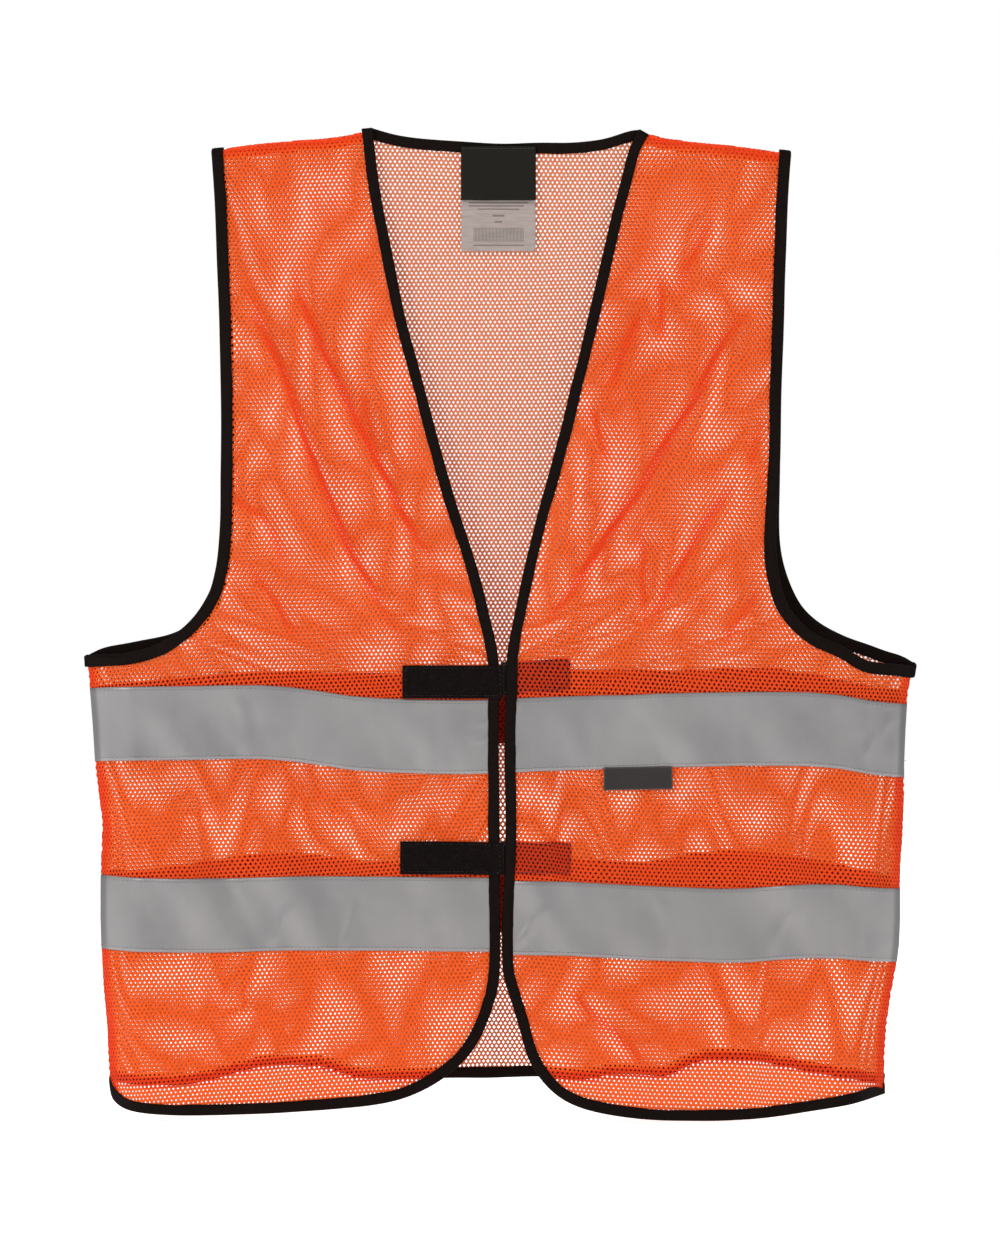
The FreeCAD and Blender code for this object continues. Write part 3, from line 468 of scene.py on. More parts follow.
def back_y(side, x, z):
    """Middle of the mesh of the back: nearly flat, and quietest behind the neck label."""
    far = smooth((side_x(side, np.minimum(z, ARMPIT_Z)) - np.abs(x)) / 40.0)
    top = smooth((650 - z) / 60)
    quiet = 1 - 0.85 * np.exp(-((x + 2) / 45) ** 2 - ((z - 625) / 60) ** 2)
    wave = 0.55 * noise(x / 70, z / 90, 11) + 0.3 * noise(x / 27, z / 60, 12)
    return BACK_MID + wave * far * top * quiet


def forward_normal(height, side, x, z, step=0.6):
    """Normal of a surface, on its -Y side."""
    slope_x = (height(side, x + step, z) - height(side, x - step, z)) / (2 * step)
    slope_z = (height(side, x, z + step) - height(side, x, z - step)) / (2 * step)
    normal = np.stack([slope_x, -np.ones_like(slope_x), slope_z], -1)
    return normal / np.linalg.norm(normal, axis=-1, keepdims=True)


# A surface: its height function, and 1 where its outside is towards -Y or -1 towards +Y.
FRONT, BACK = (front_y, 1.0), (back_y, -1.0)


def outward(surface, side, x, z):
    return surface[1] * forward_normal(surface[0], side, x, z)


def on_cloth(surface, side, x, z, out):
    """Points that stand out from the middle of the cloth."""
    x, z = np.asarray(x, float), np.asarray(z, float)
    base = np.stack([x, surface[0](side, x, z), z], -1)
    return base + outward(surface, side, x, z) * np.asarray(out, float)[..., None]


# Near the side seams the fronts turn back, so more knit fits into each millimetre of x.
# TURN_RUN[d] is the length along the cloth at each of TURN_STEPS, for a depth of d mm.
TURN_STEPS = np.linspace(0, SIDE_ROLL, 121)
TURN_MIDS = (TURN_STEPS[1:] + TURN_STEPS[:-1]) / 2
TURN_RUN = np.array([
    np.r_[0, np.cumsum(np.sqrt(1 + (turned * np.pi / 2 / SIDE_ROLL
                                    * np.cos(np.pi / 2 * TURN_MIDS / SIDE_ROLL)) ** 2)
                       * np.diff(TURN_STEPS))]
    for turned in np.linspace(0, 40, 41)])


def from_flat(side, flat_x, z):
    """x of the cloth point that lies at flat_x when the front is spread flat."""
    from_mid = np.abs(flat_x)
    edge = side_x(side, z)
    turned = ((DEPTH_TOP + DEPTH_HEM * np.clip((NECK_Z - z) / NECK_Z, 0, 1))
              * smooth((ARMPIT_Z + 12 - z) / 22))
    turned = np.clip(turned, 0, 39.99)
    below = np.floor(turned).astype(int)
    share = turned - below
    total = TURN_RUN[below, -1] * (1 - share) + TURN_RUN[below + 1, -1] * share
    to_seam = edge - SIDE_ROLL + total - from_mid     # along the cloth
    x = from_mid.copy()
    rolled = (to_seam < total) & (z < ARMPIT_Z + 14)
    if rolled.any():
        run = np.clip(to_seam[rolled], -30, None)
        row, part = below[rolled], share[rolled]
        inward = np.empty(len(run))
        for k in np.unique(row):
            here = row == k
            inward[here] = (np.interp(run[here], TURN_RUN[k], TURN_STEPS) * (1 - part[here])
                            + np.interp(run[here], TURN_RUN[k + 1], TURN_STEPS) * part[here])
        x[rolled] = edge[rolled] - np.where(run < 0, run, inward)
    return np.sign(flat_x) * x


# ---------------------------------------------------------------- mesh building
# A geometry is a pair: vertices in mm and four-cornered faces.
def new_object(name, geometry, *materials, face_slots=None):
    mesh = bpy.data.meshes.new(name)
    points, faces = np.asarray(geometry[0], np.float64) * MM, np.asarray(geometry[1], np.int32)
    count = len(faces)
    mesh.vertices.add(len(points))
    mesh.vertices.foreach_set("co", points.astype(np.float32).ravel())
    mesh.loops.add(4 * count)
    mesh.loops.foreach_set("vertex_index", faces.ravel())
    mesh.polygons.add(count)
    mesh.polygons.foreach_set("loop_start", np.arange(count, dtype=np.int32) * 4)
    mesh.polygons.foreach_set("loop_total", np.full(count, 4, np.int32))
    mesh.polygons.foreach_set("use_smooth", np.ones(count, bool))
    if face_slots is not None:
        mesh.polygons.foreach_set("material_index", face_slots.astype(np.int32))
    mesh.update(calc_edges=True)
    mesh.validate()
    # UVs look along Y and fill the square but for a small margin
    flat = points[:, [0, 2]]
    low, high = flat.min(0), flat.max(0)
    uv = (flat - low) / np.maximum(high - low, 1e-6) * 0.98 + 0.01
    layer = mesh.uv_layers.new(name="OFBake")
    corners = np.zeros(len(mesh.loops), np.int32)
    mesh.loops.foreach_get("vertex_index", corners)
    layer.data.foreach_set("uv", uv.astype(np.float32)[corners].ravel())
    for material in materials:
        mesh.materials.append(material)
    ob = bpy.data.objects.new(name, mesh)
    bpy.context.scene.collection.objects.link(ob)
    return ob


def set_attribute(ob, name, values):
    attribute = ob.data.attributes.new(name, "FLOAT", "POINT")
    attribute.data.foreach_set("value", values.astype(np.float32))


def join(parts):
    points, faces, count = [], [], 0
    for part_points, part_faces in parts:
        points.append(part_points)
        faces.append(part_faces + count)
        count += len(part_points)
    return np.concatenate(points), np.concatenate(faces)


def sheet(outer, inner):
    """Closed sheet between two matching grids (rows, columns, 3)."""
    index = np.arange(outer.shape[0] * outer.shape[1]).reshape(outer.shape[:2])
    corners = [part.ravel() for part in (index[:-1, :-1], index[1:, :-1],
                                         index[1:, 1:], index[:-1, 1:])]
    faces = [np.stack(corners, 1), np.stack(corners[::-1], 1) + index.size]
    for rim, forward in ((index[:, 0], True), (index[:, -1], False),
                         (index[0], False), (index[-1], True)):
        start, end = (rim[:-1], rim[1:]) if forward else (rim[1:], rim[:-1])
        faces.append(np.stack([start, start + index.size, end + index.size, end], 1))
    return np.concatenate([outer.reshape(-1, 3), inner.reshape(-1, 3)]), np.concatenate(faces)


def sheet_cells(grid):
    """Number of faces on one skin of a sheet."""
    return (grid.shape[0] - 1) * (grid.shape[1] - 1)


def sweep(rings, flip=False, closed=False):
    """Tube through sections (n, corners, 3); open ends are closed by a strip of quads."""
    if flip:
        rings = rings[:, ::-1]
    count, corners = rings.shape[:2]
    index = np.arange(count * corners).reshape(count, corners)
    around = np.roll(index, -1, axis=1)
    quads = np.stack([index, around, np.roll(around, -1, axis=0), np.roll(index, -1, axis=0)], -1)
    if closed:
        return rings.reshape(-1, 3), quads.reshape(-1, 4)
    k = np.arange(corners // 2 - 1)
    cap = np.stack([k, k + 1, corners - 2 - k, corners - 1 - k], 1)
    faces = [quads[:-1].reshape(-1, 4), cap[:, ::-1], cap + (count - 1) * corners]
    return rings.reshape(-1, 3), np.concatenate(faces)


# Rings of a stitch: place along its length, share of its radius, rise for a bulge of 1.
STITCH_RINGS = np.array([(-0.5, 0.35, -0.9), (-0.38, 0.9, -0.15), (0.0, 1.0, 0.25),
                         (0.38, 0.9, -0.15), (0.5, 0.35, -0.9)])
STITCH_CORNERS = 6


def stitches(places, along, up, length, radius, bulge=0.5):
    """Rounded runs of thread, one at each place."""
    along, up = np.broadcast_to(along, places.shape), np.broadcast_to(up, places.shape)
    across = unit(np.cross(up, along))
    shift, share, rise = STITCH_RINGS.T
    angle = np.arange(STITCH_CORNERS) * 2 * np.pi / STITCH_CORNERS
    centres = (places[:, None] + along[:, None] * (shift * length)[:, None]
               + up[:, None] * (rise * bulge * radius)[:, None])
    spokes = (np.cos(angle)[:, None] * across[:, None] + np.sin(angle)[:, None] * up[:, None])
    points = centres[:, :, None] + (radius * share)[:, None, None] * spokes[:, None]
    index = np.arange(len(shift) * STITCH_CORNERS).reshape(len(shift), STITCH_CORNERS)
    around = np.roll(index, -1, axis=1)
    wall = np.stack([index[:-1], index[1:], around[1:], around[:-1]], -1).reshape(-1, 4)
    cap = np.array([(0, 1, 2, 3), (0, 3, 4, 5)])
    pattern = np.concatenate([wall, cap, cap[:, ::-1] + index[-1, 0]])
    starts = np.arange(len(places)) * index.size
    return points.reshape(-1, 3), (pattern[:, None] + starts[None, :, None]).reshape(-1, 4)


# ---------------------------------------------------------------- shader helpers
class Nodes:
    """A node tree with short ways to add nodes. Colours are given without alpha."""

    def __init__(self, owner):
        owner.use_nodes = True
        self.tree = owner.node_tree
        self.tree.nodes.clear()

    def add(self, kind, inputs=None, **settings):
        node = self.tree.nodes.new(kind)
        for key, value in settings.items():
            setattr(node, key, value)
        self.set(node, inputs or {})
        return node

    def set(self, node, inputs):
        """Set values, or link where a value is another node's socket."""
        for key, value in inputs.items():
            socket = node.inputs[key]
            if isinstance(value, bpy.types.NodeSocket):
                self.tree.links.new(value, socket)
            else:
                socket.default_value = (*value, 1) if socket.type == "RGBA" else value

    def coords(self, scale=(1, 1, 1), rotation=(0, 0, 0)):
        place = self.add("ShaderNodeTexCoord").outputs["Object"]
        return self.add("ShaderNodeMapping",
                        {"Scale": scale, "Rotation": rotation, 0: place}).outputs[0]

    def noise(self, vector, scale, detail=3.0):
        return self.add("ShaderNodeTexNoise", {"Scale": scale, "Detail": detail,
                                               "Roughness": 0.55, "Vector": vector}).outputs["Fac"]

    def wave(self, vector, scale, distortion=0.0, direction="X"):
        return self.add("ShaderNodeTexWave",
                        {"Scale": scale, "Distortion": distortion, "Vector": vector},
                        bands_direction=direction).outputs["Fac"]

    def voronoi(self, vector, scale):
        return self.add("ShaderNodeTexVoronoi",
                        {"Scale": scale, "Vector": vector}).outputs["Distance"]

    def attribute(self, name):
        return self.add("ShaderNodeAttribute", attribute_name=name).outputs["Fac"]

    def maths(self, operation, *values):
        return self.add("ShaderNodeMath", dict(enumerate(values)), operation=operation).outputs[0]

    def scaled(self, value, by, plus):
        return self.maths("MULTIPLY_ADD", value, by, plus)

    def mix(self, share, first, second):
        return self.add("ShaderNodeMix", {0: share, 6: first, 7: second},
                        data_type="RGBA").outputs[2]

    def mix_by(self, value, strength, first, second):
        """Mix by value times strength."""
        return self.mix(self.maths("MULTIPLY", value, strength), first, second)

    def ramp(self, value, *stops):
        node = self.add("ShaderNodeValToRGB", {0: value})
        elements = node.color_ramp.elements
        elements.remove(elements[-1])
        for k, (position, colour) in enumerate(stops):
            element = elements.new(position) if k else elements[0]
            element.position = position
            element.color = (*colour, 1)
        return node.outputs[0]

    def bump(self, height, strength, distance):
        return self.add("ShaderNodeBump", {"Strength": strength, "Distance": distance,
                                           "Height": height}).outputs[0]


class Material(Nodes):
    def __init__(self, name):
        self.data = bpy.data.materials.new(name)
        super().__init__(self.data)
        self.output = self.add("ShaderNodeOutputMaterial")
        self.surface = self.add("ShaderNodeBsdfPrincipled")
        self.set(self.output, {0: self.surface.outputs[0]})

    def look(self, inputs):
        """Set the main shader's inputs and return the material."""
        self.set(self.surface, inputs)
        return self.data


# ---------------------------------------------------------------- materials
def knit_material(name, is_back):
    """Knit that lets some light through; a per-vertex attribute paints shade on it, first redder,
    then darker.
    """
    m = Material(name)
    vector = m.coords()
    broad = m.noise(vector, scale=9.0, detail=2.0)
    fine = m.noise(vector, scale=900.0, detail=2.0)
    yarn = m.wave(m.coords(rotation=(0, math.radians(38), 0)), scale=900.0, distortion=2.0)
    colour = m.ramp(broad, (0.25, (0.92, 0.134, 0.014)), (0.75, (0.95, 0.170, 0.024)))
    colour = m.mix_by(fine, 0.22, colour, (0.86, 0.080, 0.006))
    # painted shade: up to 1 the knit is painted redder, above 1 darker, along folds and over what
    # lies behind it
    painted_shade = m.attribute("painted_shade")
    painted_shade_red = m.maths("MINIMUM", painted_shade, 1.0)
    painted_shade_dark = m.maths("MAXIMUM", m.maths("SUBTRACT", painted_shade, 1.0), 0.0)
    colour = m.mix_by(painted_shade_red, 0.8, colour, (0.84, 0.036, 0.003))
    colour = m.mix_by(painted_shade_dark, 0.9, colour, (0.30, 0.020, 0.006))
    if is_back:
        # painted shade: the inner face, towards -Y, is painted paler and duller than the outer one
        # as shade, and dark red where a tape lies behind it
        normal = m.add("ShaderNodeNewGeometry").outputs["Normal"]
        normal_y = m.add("ShaderNodeSeparateXYZ", {0: normal}).outputs[1]
        inner = m.maths("GREATER_THAN", m.maths("MULTIPLY", normal_y, -1.0), 0.0)
        painted_inner_shade = m.mix(painted_shade_red, (0.72, 0.245, 0.120), (0.36, 0.014, 0.010))
        colour = m.mix(inner, colour, painted_inner_shade)
        through, through_painted_shade = (0.80, 0.42, 0.20), (0.5, 0.03, 0.02)
    else:
        through, through_painted_shade = (0.92, 0.40, 0.19), (0.8, 0.12, 0.03)
    m.look({
        "Base Color": colour,
        "Roughness": m.scaled(fine, by=0.25, plus=0.42),
        "Sheen Weight": 0.08,
        "Sheen Tint": (1, 0.55, 0.35),
        # painted glow: a faint emission in the dye's colour stands in for its fluorescence and lifts
        # threads in shade
        "Emission Color": (1.0, 0.075, 0.006),
        "Emission Strength": 0.04 if is_back else 0.08,
        "Specular IOR Level": 0.2,
        "Normal": m.bump(m.maths("ADD", yarn, fine), strength=0.25, distance=0.00012),
    })
    glow = m.add("ShaderNodeBsdfTranslucent",
                 {"Color": m.mix_by(painted_shade_red, 0.8, through, through_painted_shade)})
    both = m.add("ShaderNodeMixShader",
                 {0: 0.40, 1: m.surface.outputs[0], 2: glow.outputs[0]})
    m.set(m.output, {0: both.outputs[0]})
    return m.data


def seam_material():
    """Doubled knit, with its holes as dark dots of painted shade, and a painted glow."""
    m = Material("knit_orange_double")
    painted_shade_hole_dots = m.voronoi(m.coords(), scale=520.0)
    # the holes are painted as darker dots: painted shade inside them
    return m.look({
        "Base Color": m.ramp(painted_shade_hole_dots, (0.18, (0.86, 0.085, 0.016)), (0.5, (0.80, 0.050, 0.009)),
                             (0.75, (0.5, 0.022, 0.006))),
        "Roughness": 0.7,
        "Specular IOR Level": 0.15,
        # painted glow: an emission in the dye's colour
        "Emission Color": (1.0, 0.07, 0.008),
        "Emission Strength": 0.14,
        "Normal": m.bump(painted_shade_hole_dots, strength=0.5, distance=0.0003),
    })


def tape_material():
    """Beaded silver with painted vertical shade streaks; a per-vertex attribute paints shade on it
    towards the side seams.
    """
    m = Material("tape_silver")
    vector = m.coords()
    cloud = m.noise(vector, scale=26.0)
    beads = m.voronoi(vector, scale=2600.0)
    painted_shade_streak = m.noise(m.coords(scale=(60, 1, 2.4)), scale=1.0, detail=4.0)
    colour = m.ramp(cloud, (0.3, (0.240, 0.232, 0.232)), (0.7, (0.295, 0.284, 0.279)))
    # painted shade: soft, slightly bluish darker vertical bands
    colour = m.mix_by(painted_shade_streak, 0.55, colour, (0.180, 0.178, 0.192))
    colour = m.mix_by(beads, 0.2, colour, (0.38, 0.372, 0.365))
    # painted shade on the tape where it turns back at the side seam
    colour = m.mix_by(m.attribute("rim"), 0.62, colour, (0.070, 0.066, 0.068))
    relief = m.scaled
    return m.look({
        "Base Color": colour,
        "Roughness": relief(cloud, by=0.16, plus=0.34),
        "Metallic": 0.35,
        "Normal": m.bump(m.maths("ADD", beads, m.maths("MULTIPLY", painted_shade_streak, 0.6)),
                         strength=0.14, distance=0.0002),
    })


def tape_back_material():
    """Dark red woven backing."""
    m = Material("tape_backing")
    weave = m.maths("MULTIPLY", m.wave(m.coords(), scale=700.0),
                    m.wave(m.coords(), scale=700.0, direction="Z"))
    return m.look({
        "Base Color": m.ramp(weave, (0.0, (0.13, 0.008, 0.008)), (1.0, (0.21, 0.014, 0.012))),
        "Roughness": 0.8,
        "Normal": m.bump(weave, strength=0.3, distance=0.0002),
    })


def black_material(name, scale, roughness, dark, light, specular):
    """Woven black with lint."""
    m = Material(name)
    across = m.wave(m.coords(), scale, distortion=0.6)
    upright = m.wave(m.coords(), scale, distortion=0.6, direction="Z")
    lint = m.noise(m.coords(), scale=300.0, detail=4.0)
    weave = m.maths("MULTIPLY", across, upright)
    blend = m.maths("ADD", m.maths("MULTIPLY", weave, 0.55), m.maths("MULTIPLY", lint, 0.45))
    return m.look({
        "Base Color": m.ramp(blend, (0.25, dark), (0.85, light)),
        "Roughness": m.scaled(lint, by=0.2, plus=roughness - 0.1),
        "Specular IOR Level": specular,
        "Normal": m.bump(weave, strength=0.55, distance=0.0003),
    })


def plain_material(name, dark, light, roughness, scale):
    """Cloudy colour with a fine slanting rib."""
    m = Material(name)
    cloud = m.noise(m.coords(), scale)
    rib = m.wave(m.coords(rotation=(0, 0.6, 0)), scale * 1.7, distortion=0.5)
    return m.look({
        "Base Color": m.ramp(cloud, (0.3, dark), (0.7, light)),
        "Roughness": m.scaled(cloud, by=0.2, plus=roughness - 0.1),
        "Sheen Weight": 0.1,
        "Normal": m.bump(rib, strength=0.4, distance=0.00015),
    })


# Printed rules of the care label: left, right, bottom, top, as shares of its size.
PRINT_RULES = [(0.10, 0.90, 0.455, 0.472), (0.10, 0.84, 0.425, 0.440),
               (0.22, 0.78, 0.395, 0.408), (0.42, 0.58, 0.330, 0.350),
               (0.45, 0.55, 0.272, 0.290), (0.16, 0.84, 0.050, 0.064)]
PRINT_BARS = (0.16, 0.84, 0.092, 0.225)


def care_material(x0, x1, z0, z1):
    """Off-white satin printed with rules and upright bars, no lettering."""
    m = Material("label_satin")
    place = m.add("ShaderNodeTexCoord").outputs["Object"]
    axes = m.add("ShaderNodeSeparateXYZ", {0: place}).outputs
    across = m.maths("DIVIDE", m.maths("SUBTRACT", axes[0], x0 * MM), (x1 - x0) * MM)
    upward = m.maths("DIVIDE", m.maths("SUBTRACT", axes[2], z0 * MM), (z1 - z0) * MM)

    def band(value, low, high):
        return m.maths("MULTIPLY", m.maths("GREATER_THAN", value, low),
                       m.maths("LESS_THAN", value, high))

    def block(left, right, bottom, top):
        return m.maths("MULTIPLY", band(across, left, right), band(upward, bottom, top))

    ink = block(*PRINT_RULES[0])
    for rule in PRINT_RULES[1:]:
        ink = m.maths("MAXIMUM", ink, block(*rule))
    bars = m.wave(m.coords(), scale=330.0)
    bars = m.maths("MULTIPLY", m.maths("GREATER_THAN", bars, 0.5), block(*PRINT_BARS))
    ink = m.maths("MAXIMUM", ink, bars)
    satin = m.noise(m.coords(scale=(1, 1, 9)), scale=90.0)
    paper = m.ramp(satin, (0.3, (0.275, 0.222, 0.200)), (0.7, (0.355, 0.292, 0.265)))
    return m.look({
        "Base Color": m.mix_by(ink, 0.78, paper, (0.10, 0.085, 0.08)),
        "Roughness": 0.5,
        "Sheen Weight": 0.2,
        "Normal": m.bump(m.wave(m.coords(), scale=1500.0, distortion=0.2, direction="Z"),
                         strength=0.25, distance=0.0001),
    })


KNIT = knit_material("knit_orange", is_back=False)
KNIT_BACK = knit_material("knit_orange_back", is_back=True)
SEAM = seam_material()
TAPE = tape_material()
TAPE_BACKING = tape_back_material()
BINDING = black_material("binding_black", scale=420.0, roughness=0.72, specular=0.06,
                         dark=(0.0038, 0.0019, 0.0014), light=(0.0145, 0.0078, 0.0064))
LOOP = black_material("loop_black", scale=800.0, roughness=0.9, specular=0.08,
                      dark=(0.005, 0.003, 0.003), light=(0.022, 0.014, 0.013))
HOOK = black_material("hook_black", scale=650.0, roughness=0.5, specular=0.2,
                      dark=(0.005, 0.003, 0.003), light=(0.014, 0.010, 0.010))
LABEL = black_material("label_black", scale=900.0, roughness=0.45, specular=0.12,
                       dark=(0.0065, 0.0055, 0.003), light=(0.013, 0.0115, 0.007))
TAB = plain_material("tab_charcoal", scale=700.0, roughness=0.8,
                     dark=(0.010, 0.007, 0.0065), light=(0.022, 0.016, 0.015))
GREY_THREAD = plain_material("thread_grey", scale=1500.0, roughness=0.6,
                             dark=(0.10, 0.10, 0.105), light=(0.19, 0.19, 0.195))
BLACK_THREAD = plain_material("thread_black", scale=1500.0, roughness=0.5,
                              dark=(0.008, 0.006, 0.006), light=(0.03, 0.025, 0.024))
TAB_EDGE = plain_material("tab_border", scale=900.0, roughness=0.6,
                          dark=(0.034, 0.028, 0.027), light=(0.060, 0.051, 0.049))


# ---------------------------------------------------------------- ties to the CAD pieces
def bend(ob, side, slot, *pieces):
    """A part of a front, fixed in place; the CAD pieces it stands for are hidden."""
    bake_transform(ob)
    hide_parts(*pieces)


def carry(ob, body, piece):
    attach(ob, body)
    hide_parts(piece)


# ---------------------------------------------------------------- painted shade on the knit
def between(value, low, high):
    """1 between the limits, with edges 1 mm soft."""
    return smooth(high - value + 0.5) * smooth(value - low + 0.5)


def rise(area, x):
    """How far a tilted strip has risen at x."""
    return math.tan(math.radians(area[4])) * (x - area[0])


def taped(x, z):
    """1 where a tape of the back lies against the cloth."""
    cover = 0
    for level in LEVELS:
        top = np.interp(x, *TAPE_TOP["back", level].T)
        cover = np.maximum(cover, between(z, top - TAPE_SHADOW, top))
    return cover


def at_seams(side, x, z):
    """1 beside the side seam and shoulder seam, where the turned-in edges are dense."""
    from_side = side_x(side, z) - np.abs(x)
    shoulder = SHOULDER[side]
    shoulder = shoulder[np.argsort(shoulder[:, 0])]
    down = np.interp(x, *shoulder.T) - z
    beside = (smooth((7.5 - from_side + 1.2 * noise(z / 16, 0, 95)) / 3.5)
              * smooth((330 - z) / 8))
    below = smooth((8.5 - down + 1.5 * noise(x / 22, 0, 96)) / 4.0)
    return np.maximum(beside, 0.9 * below)


def painted_shade_behind(side, x, z):
    """Painted shade on a front's knit where something lies right behind it: the back's tapes and hem
    binding, the seam allowances and the hook strips.
    """
    hem = np.interp(x, *HEM_BACK.T)
    cover = np.maximum(0.62 * taped(x, z), 1.15 * between(z, hem, hem + BIND_W))
    cover = np.maximum(cover, 0.95 * at_seams(side, x, z))
    if side == "left":
        for area in HOOKS.values():
            climb = rise(area, x)
            strip = smooth(area[1] - x + 0.5) * between(z, area[2] + climb, area[3] + climb)
            cover = np.maximum(cover, 1.55 * strip)
    return cover


def knit_painted_shade(is_front, side, x, z):
    """Painted shade for the knit: along the creases of folds and over what lies behind a front;
    behind the back's tapes on the back.
    """
    return np.maximum(fold_creases(x, z), painted_shade_behind(side, x, z)) if is_front else taped(x, z)


# ---------------------------------------------------------------- knitted panels
def drape(x, z, middle, side, turn, seed, is_front):
    """Flat lattice to cloth: a slight turn, a slow drift, then the roll to the side seam."""
    cos, sin = math.cos(turn), math.sin(turn)
    dx, dz = x - middle[0], z - middle[1]
    x, z = middle[0] + dx * cos - dz * sin, middle[1] + dx * sin + dz * cos
    drift_x = 1.6 * noise(x / 85, z / 110, seed) + 0.25 * noise(x / 27, z / 36, seed + 1)
    drift_z = 1.6 * noise(x / 90, z / 80, seed + 2) + 0.25 * noise(x / 25, z / 29, seed + 3)
    x, z = x + drift_x, z + drift_z
    if is_front:
        # drawn together across the run of the folds: slanting over the chest, upright below
        slant = smooth((z - 270) / 90) * math.radians(-27 if side == "left" else 20)
        across, along = x * np.cos(slant) + z * np.sin(slant), -x * np.sin(slant) + z * np.cos(slant)
        draw = (2.2 * noise(across / 27, along / 170, seed + 5)
                + 0.7 * noise(across / 11.5, along / 95, seed + 6))
        x, z = x + draw * np.cos(slant), z + draw * np.sin(slant)
        x = from_flat(side, x, z)
        _, pull = fold_fields(x, z)
        x, z = x + pull[..., 0], z + pull[..., 1]
    return x, z


def hole_share(count, is_front, side, x, z):
    """Size of each hole as a share of its cell."""
    share = HOLE["front" if is_front else "back"] * (1 + 0.035 * rng.standard_normal(count))
    if is_front:
        # holes close up along sharp folds and beside seams
        share = share * (1 - 0.62 * fold_creases(x, z)) * (1 - 0.55 * at_seams(side, x, z))
        # the cloth hangs closer below the chest, and closer still below the back's hem
        share = share * (1 - 0.13 * smooth((250 - z) / 60)) * (1 - 0.08 * smooth((165 - z) / 40))
        share = share * (1 - 0.17 * smooth((np.interp(x, *HEM_BACK.T) - z) / 2.0))
    return share


# Holes are rounder than their cells: end corners are drawn in, side corners out.
HOLE_ROUNDING = np.array([0.93, 1.04, 1.04, 0.93, 1.04, 1.04])[None, :, None]


def knit_piece(name, height, side, corners, cells, is_rim):
    """One object of knit. cells holds six corner ids a cell; is_rim marks its free edges."""
    is_front = height is front_y
    used, cells = np.unique(cells, return_inverse=True)[0], \
        np.unique(cells, return_inverse=True)[1].reshape(cells.shape)
    x, z = corners[used].T
    knots, count = len(used), len(cells)
    middle = np.stack([x, height(side, x, z), z], 1)
    lift = (forward_normal(height, side, x, z)
            * (HALF_THREAD * (1 + 0.12 * rng.standard_normal(knots))[:, None]))
    rings = middle[cells]
    centres = rings.mean(1, keepdims=True)
    cx, cz = centres[:, 0, 0], centres[:, 0, 2]
    share = hole_share(count, is_front, side, cx, cz)[:, None, None]
    holes = centres + (rings - centres) * share * HOLE_ROUNDING
    hole_ids = 2 * knots + np.arange(count * 6).reshape(count, 6)
    faces = []
    for i in range(6):
        j = (i + 1) % 6
        start, end, hole_start, hole_end = cells[:, i], cells[:, j], hole_ids[:, i], hole_ids[:, j]
        faces.append(np.stack([start, end, hole_end, hole_start], 1))
        faces.append(np.stack([hole_start, hole_end, end + knots, start + knots], 1))
        start, end = start[is_rim[:, i]], end[is_rim[:, i]]
        faces.append(np.stack([end, start, start + knots, end + knots], 1))
    points = np.concatenate([middle + lift, middle - lift, holes.reshape(-1, 3)])
    ob = new_object(name, (points, np.concatenate(faces)), KNIT if is_front else KNIT_BACK)
    # painted shade, per vertex, read by the knit materials
    painted_shade_at_knots = knit_painted_shade(is_front, side, x, z)
    painted_shade_at_holes = np.repeat(knit_painted_shade(is_front, side, cx, cz), 6)
    set_attribute(ob, "painted_shade", np.concatenate([painted_shade_at_knots, painted_shade_at_knots, painted_shade_at_holes]))
    return ob


def knit_panel(name, height, side, polygon, cuts, shift, turn, seed):
    """Knit over a polygon, in pieces split at the cuts; the back is also split at x = 0."""
    is_front = height is front_y
    spare = np.array([50, 30]) if is_front else 0
    low, high = polygon.min(0) - 14 - spare, polygon.max(0) + 14 + spare
    columns, rows = int((high[0] - low[0]) / PITCH) + 4, int((high[1] - low[1]) / ROW) + 4
    i, j = np.meshgrid(np.arange(columns), np.arange(rows))
    x = low[0] + (i + 0.5 * (j % 2)) * PITCH + shift[0]
    z = low[1] + j * ROW + shift[1]
    rest = ((low + high) / 2, side, turn, seed, is_front)
    jitter = rng.normal(0, 0.05, (4,) + x.shape)
    top = drape(x + jitter[0], z + CORNER_RISE + jitter[1], *rest)
    bottom = drape(x + jitter[2], z - CORNER_RISE + jitter[3], *rest)
    middle = drape(x, z, *rest)
    kept = inside(polygon, np.stack([part.ravel() for part in middle], 1)).reshape(x.shape)
    kept[:2] = kept[-2:] = False
    kept[:, :2] = kept[:, -2:] = False
    corners = np.stack([np.concatenate([a.ravel(), b.ravel()]) for a, b in zip(top, bottom)], 1)

    row, column = np.nonzero(kept)
    before, after = column - 1 + row % 2, column + row % 2    # columns in the rows next to it
    tops = np.arange(x.size).reshape(x.shape)
    bottoms = tops + x.size
    cells = np.stack([tops[row, column], bottoms[row + 1, before], tops[row - 1, before],
                      bottoms[row, column], tops[row - 1, after], bottoms[row + 1, after]], 1)
    is_rim = np.stack([~kept[row + 1, before], ~kept[row, column - 1], ~kept[row - 1, before],
                       ~kept[row - 1, after], ~kept[row, column + 1], ~kept[row + 1, after]], 1)
    # corners outside the polygon are brought back to its edge
    used = np.unique(cells)
    outside = used[~inside(polygon, corners[used])]
    corners[outside] = nearest(polygon, corners[outside], closed=True)[0]

    piece = np.searchsorted(np.sort(cuts), z[row, 0])
    if not is_front:
        piece = piece * 2 + (middle[0][row, column] > 0.0)
    return [knit_piece("%s_%d" % (name, k), height, side, corners,
                       cells[piece == k], is_rim[piece == k]) for k in np.unique(piece)]


def tape_middle(panel, level):
    """Mean height of a tape's middle."""
    return TAPE_TOP[panel, level][:, 1].mean() - TAPE_HALF


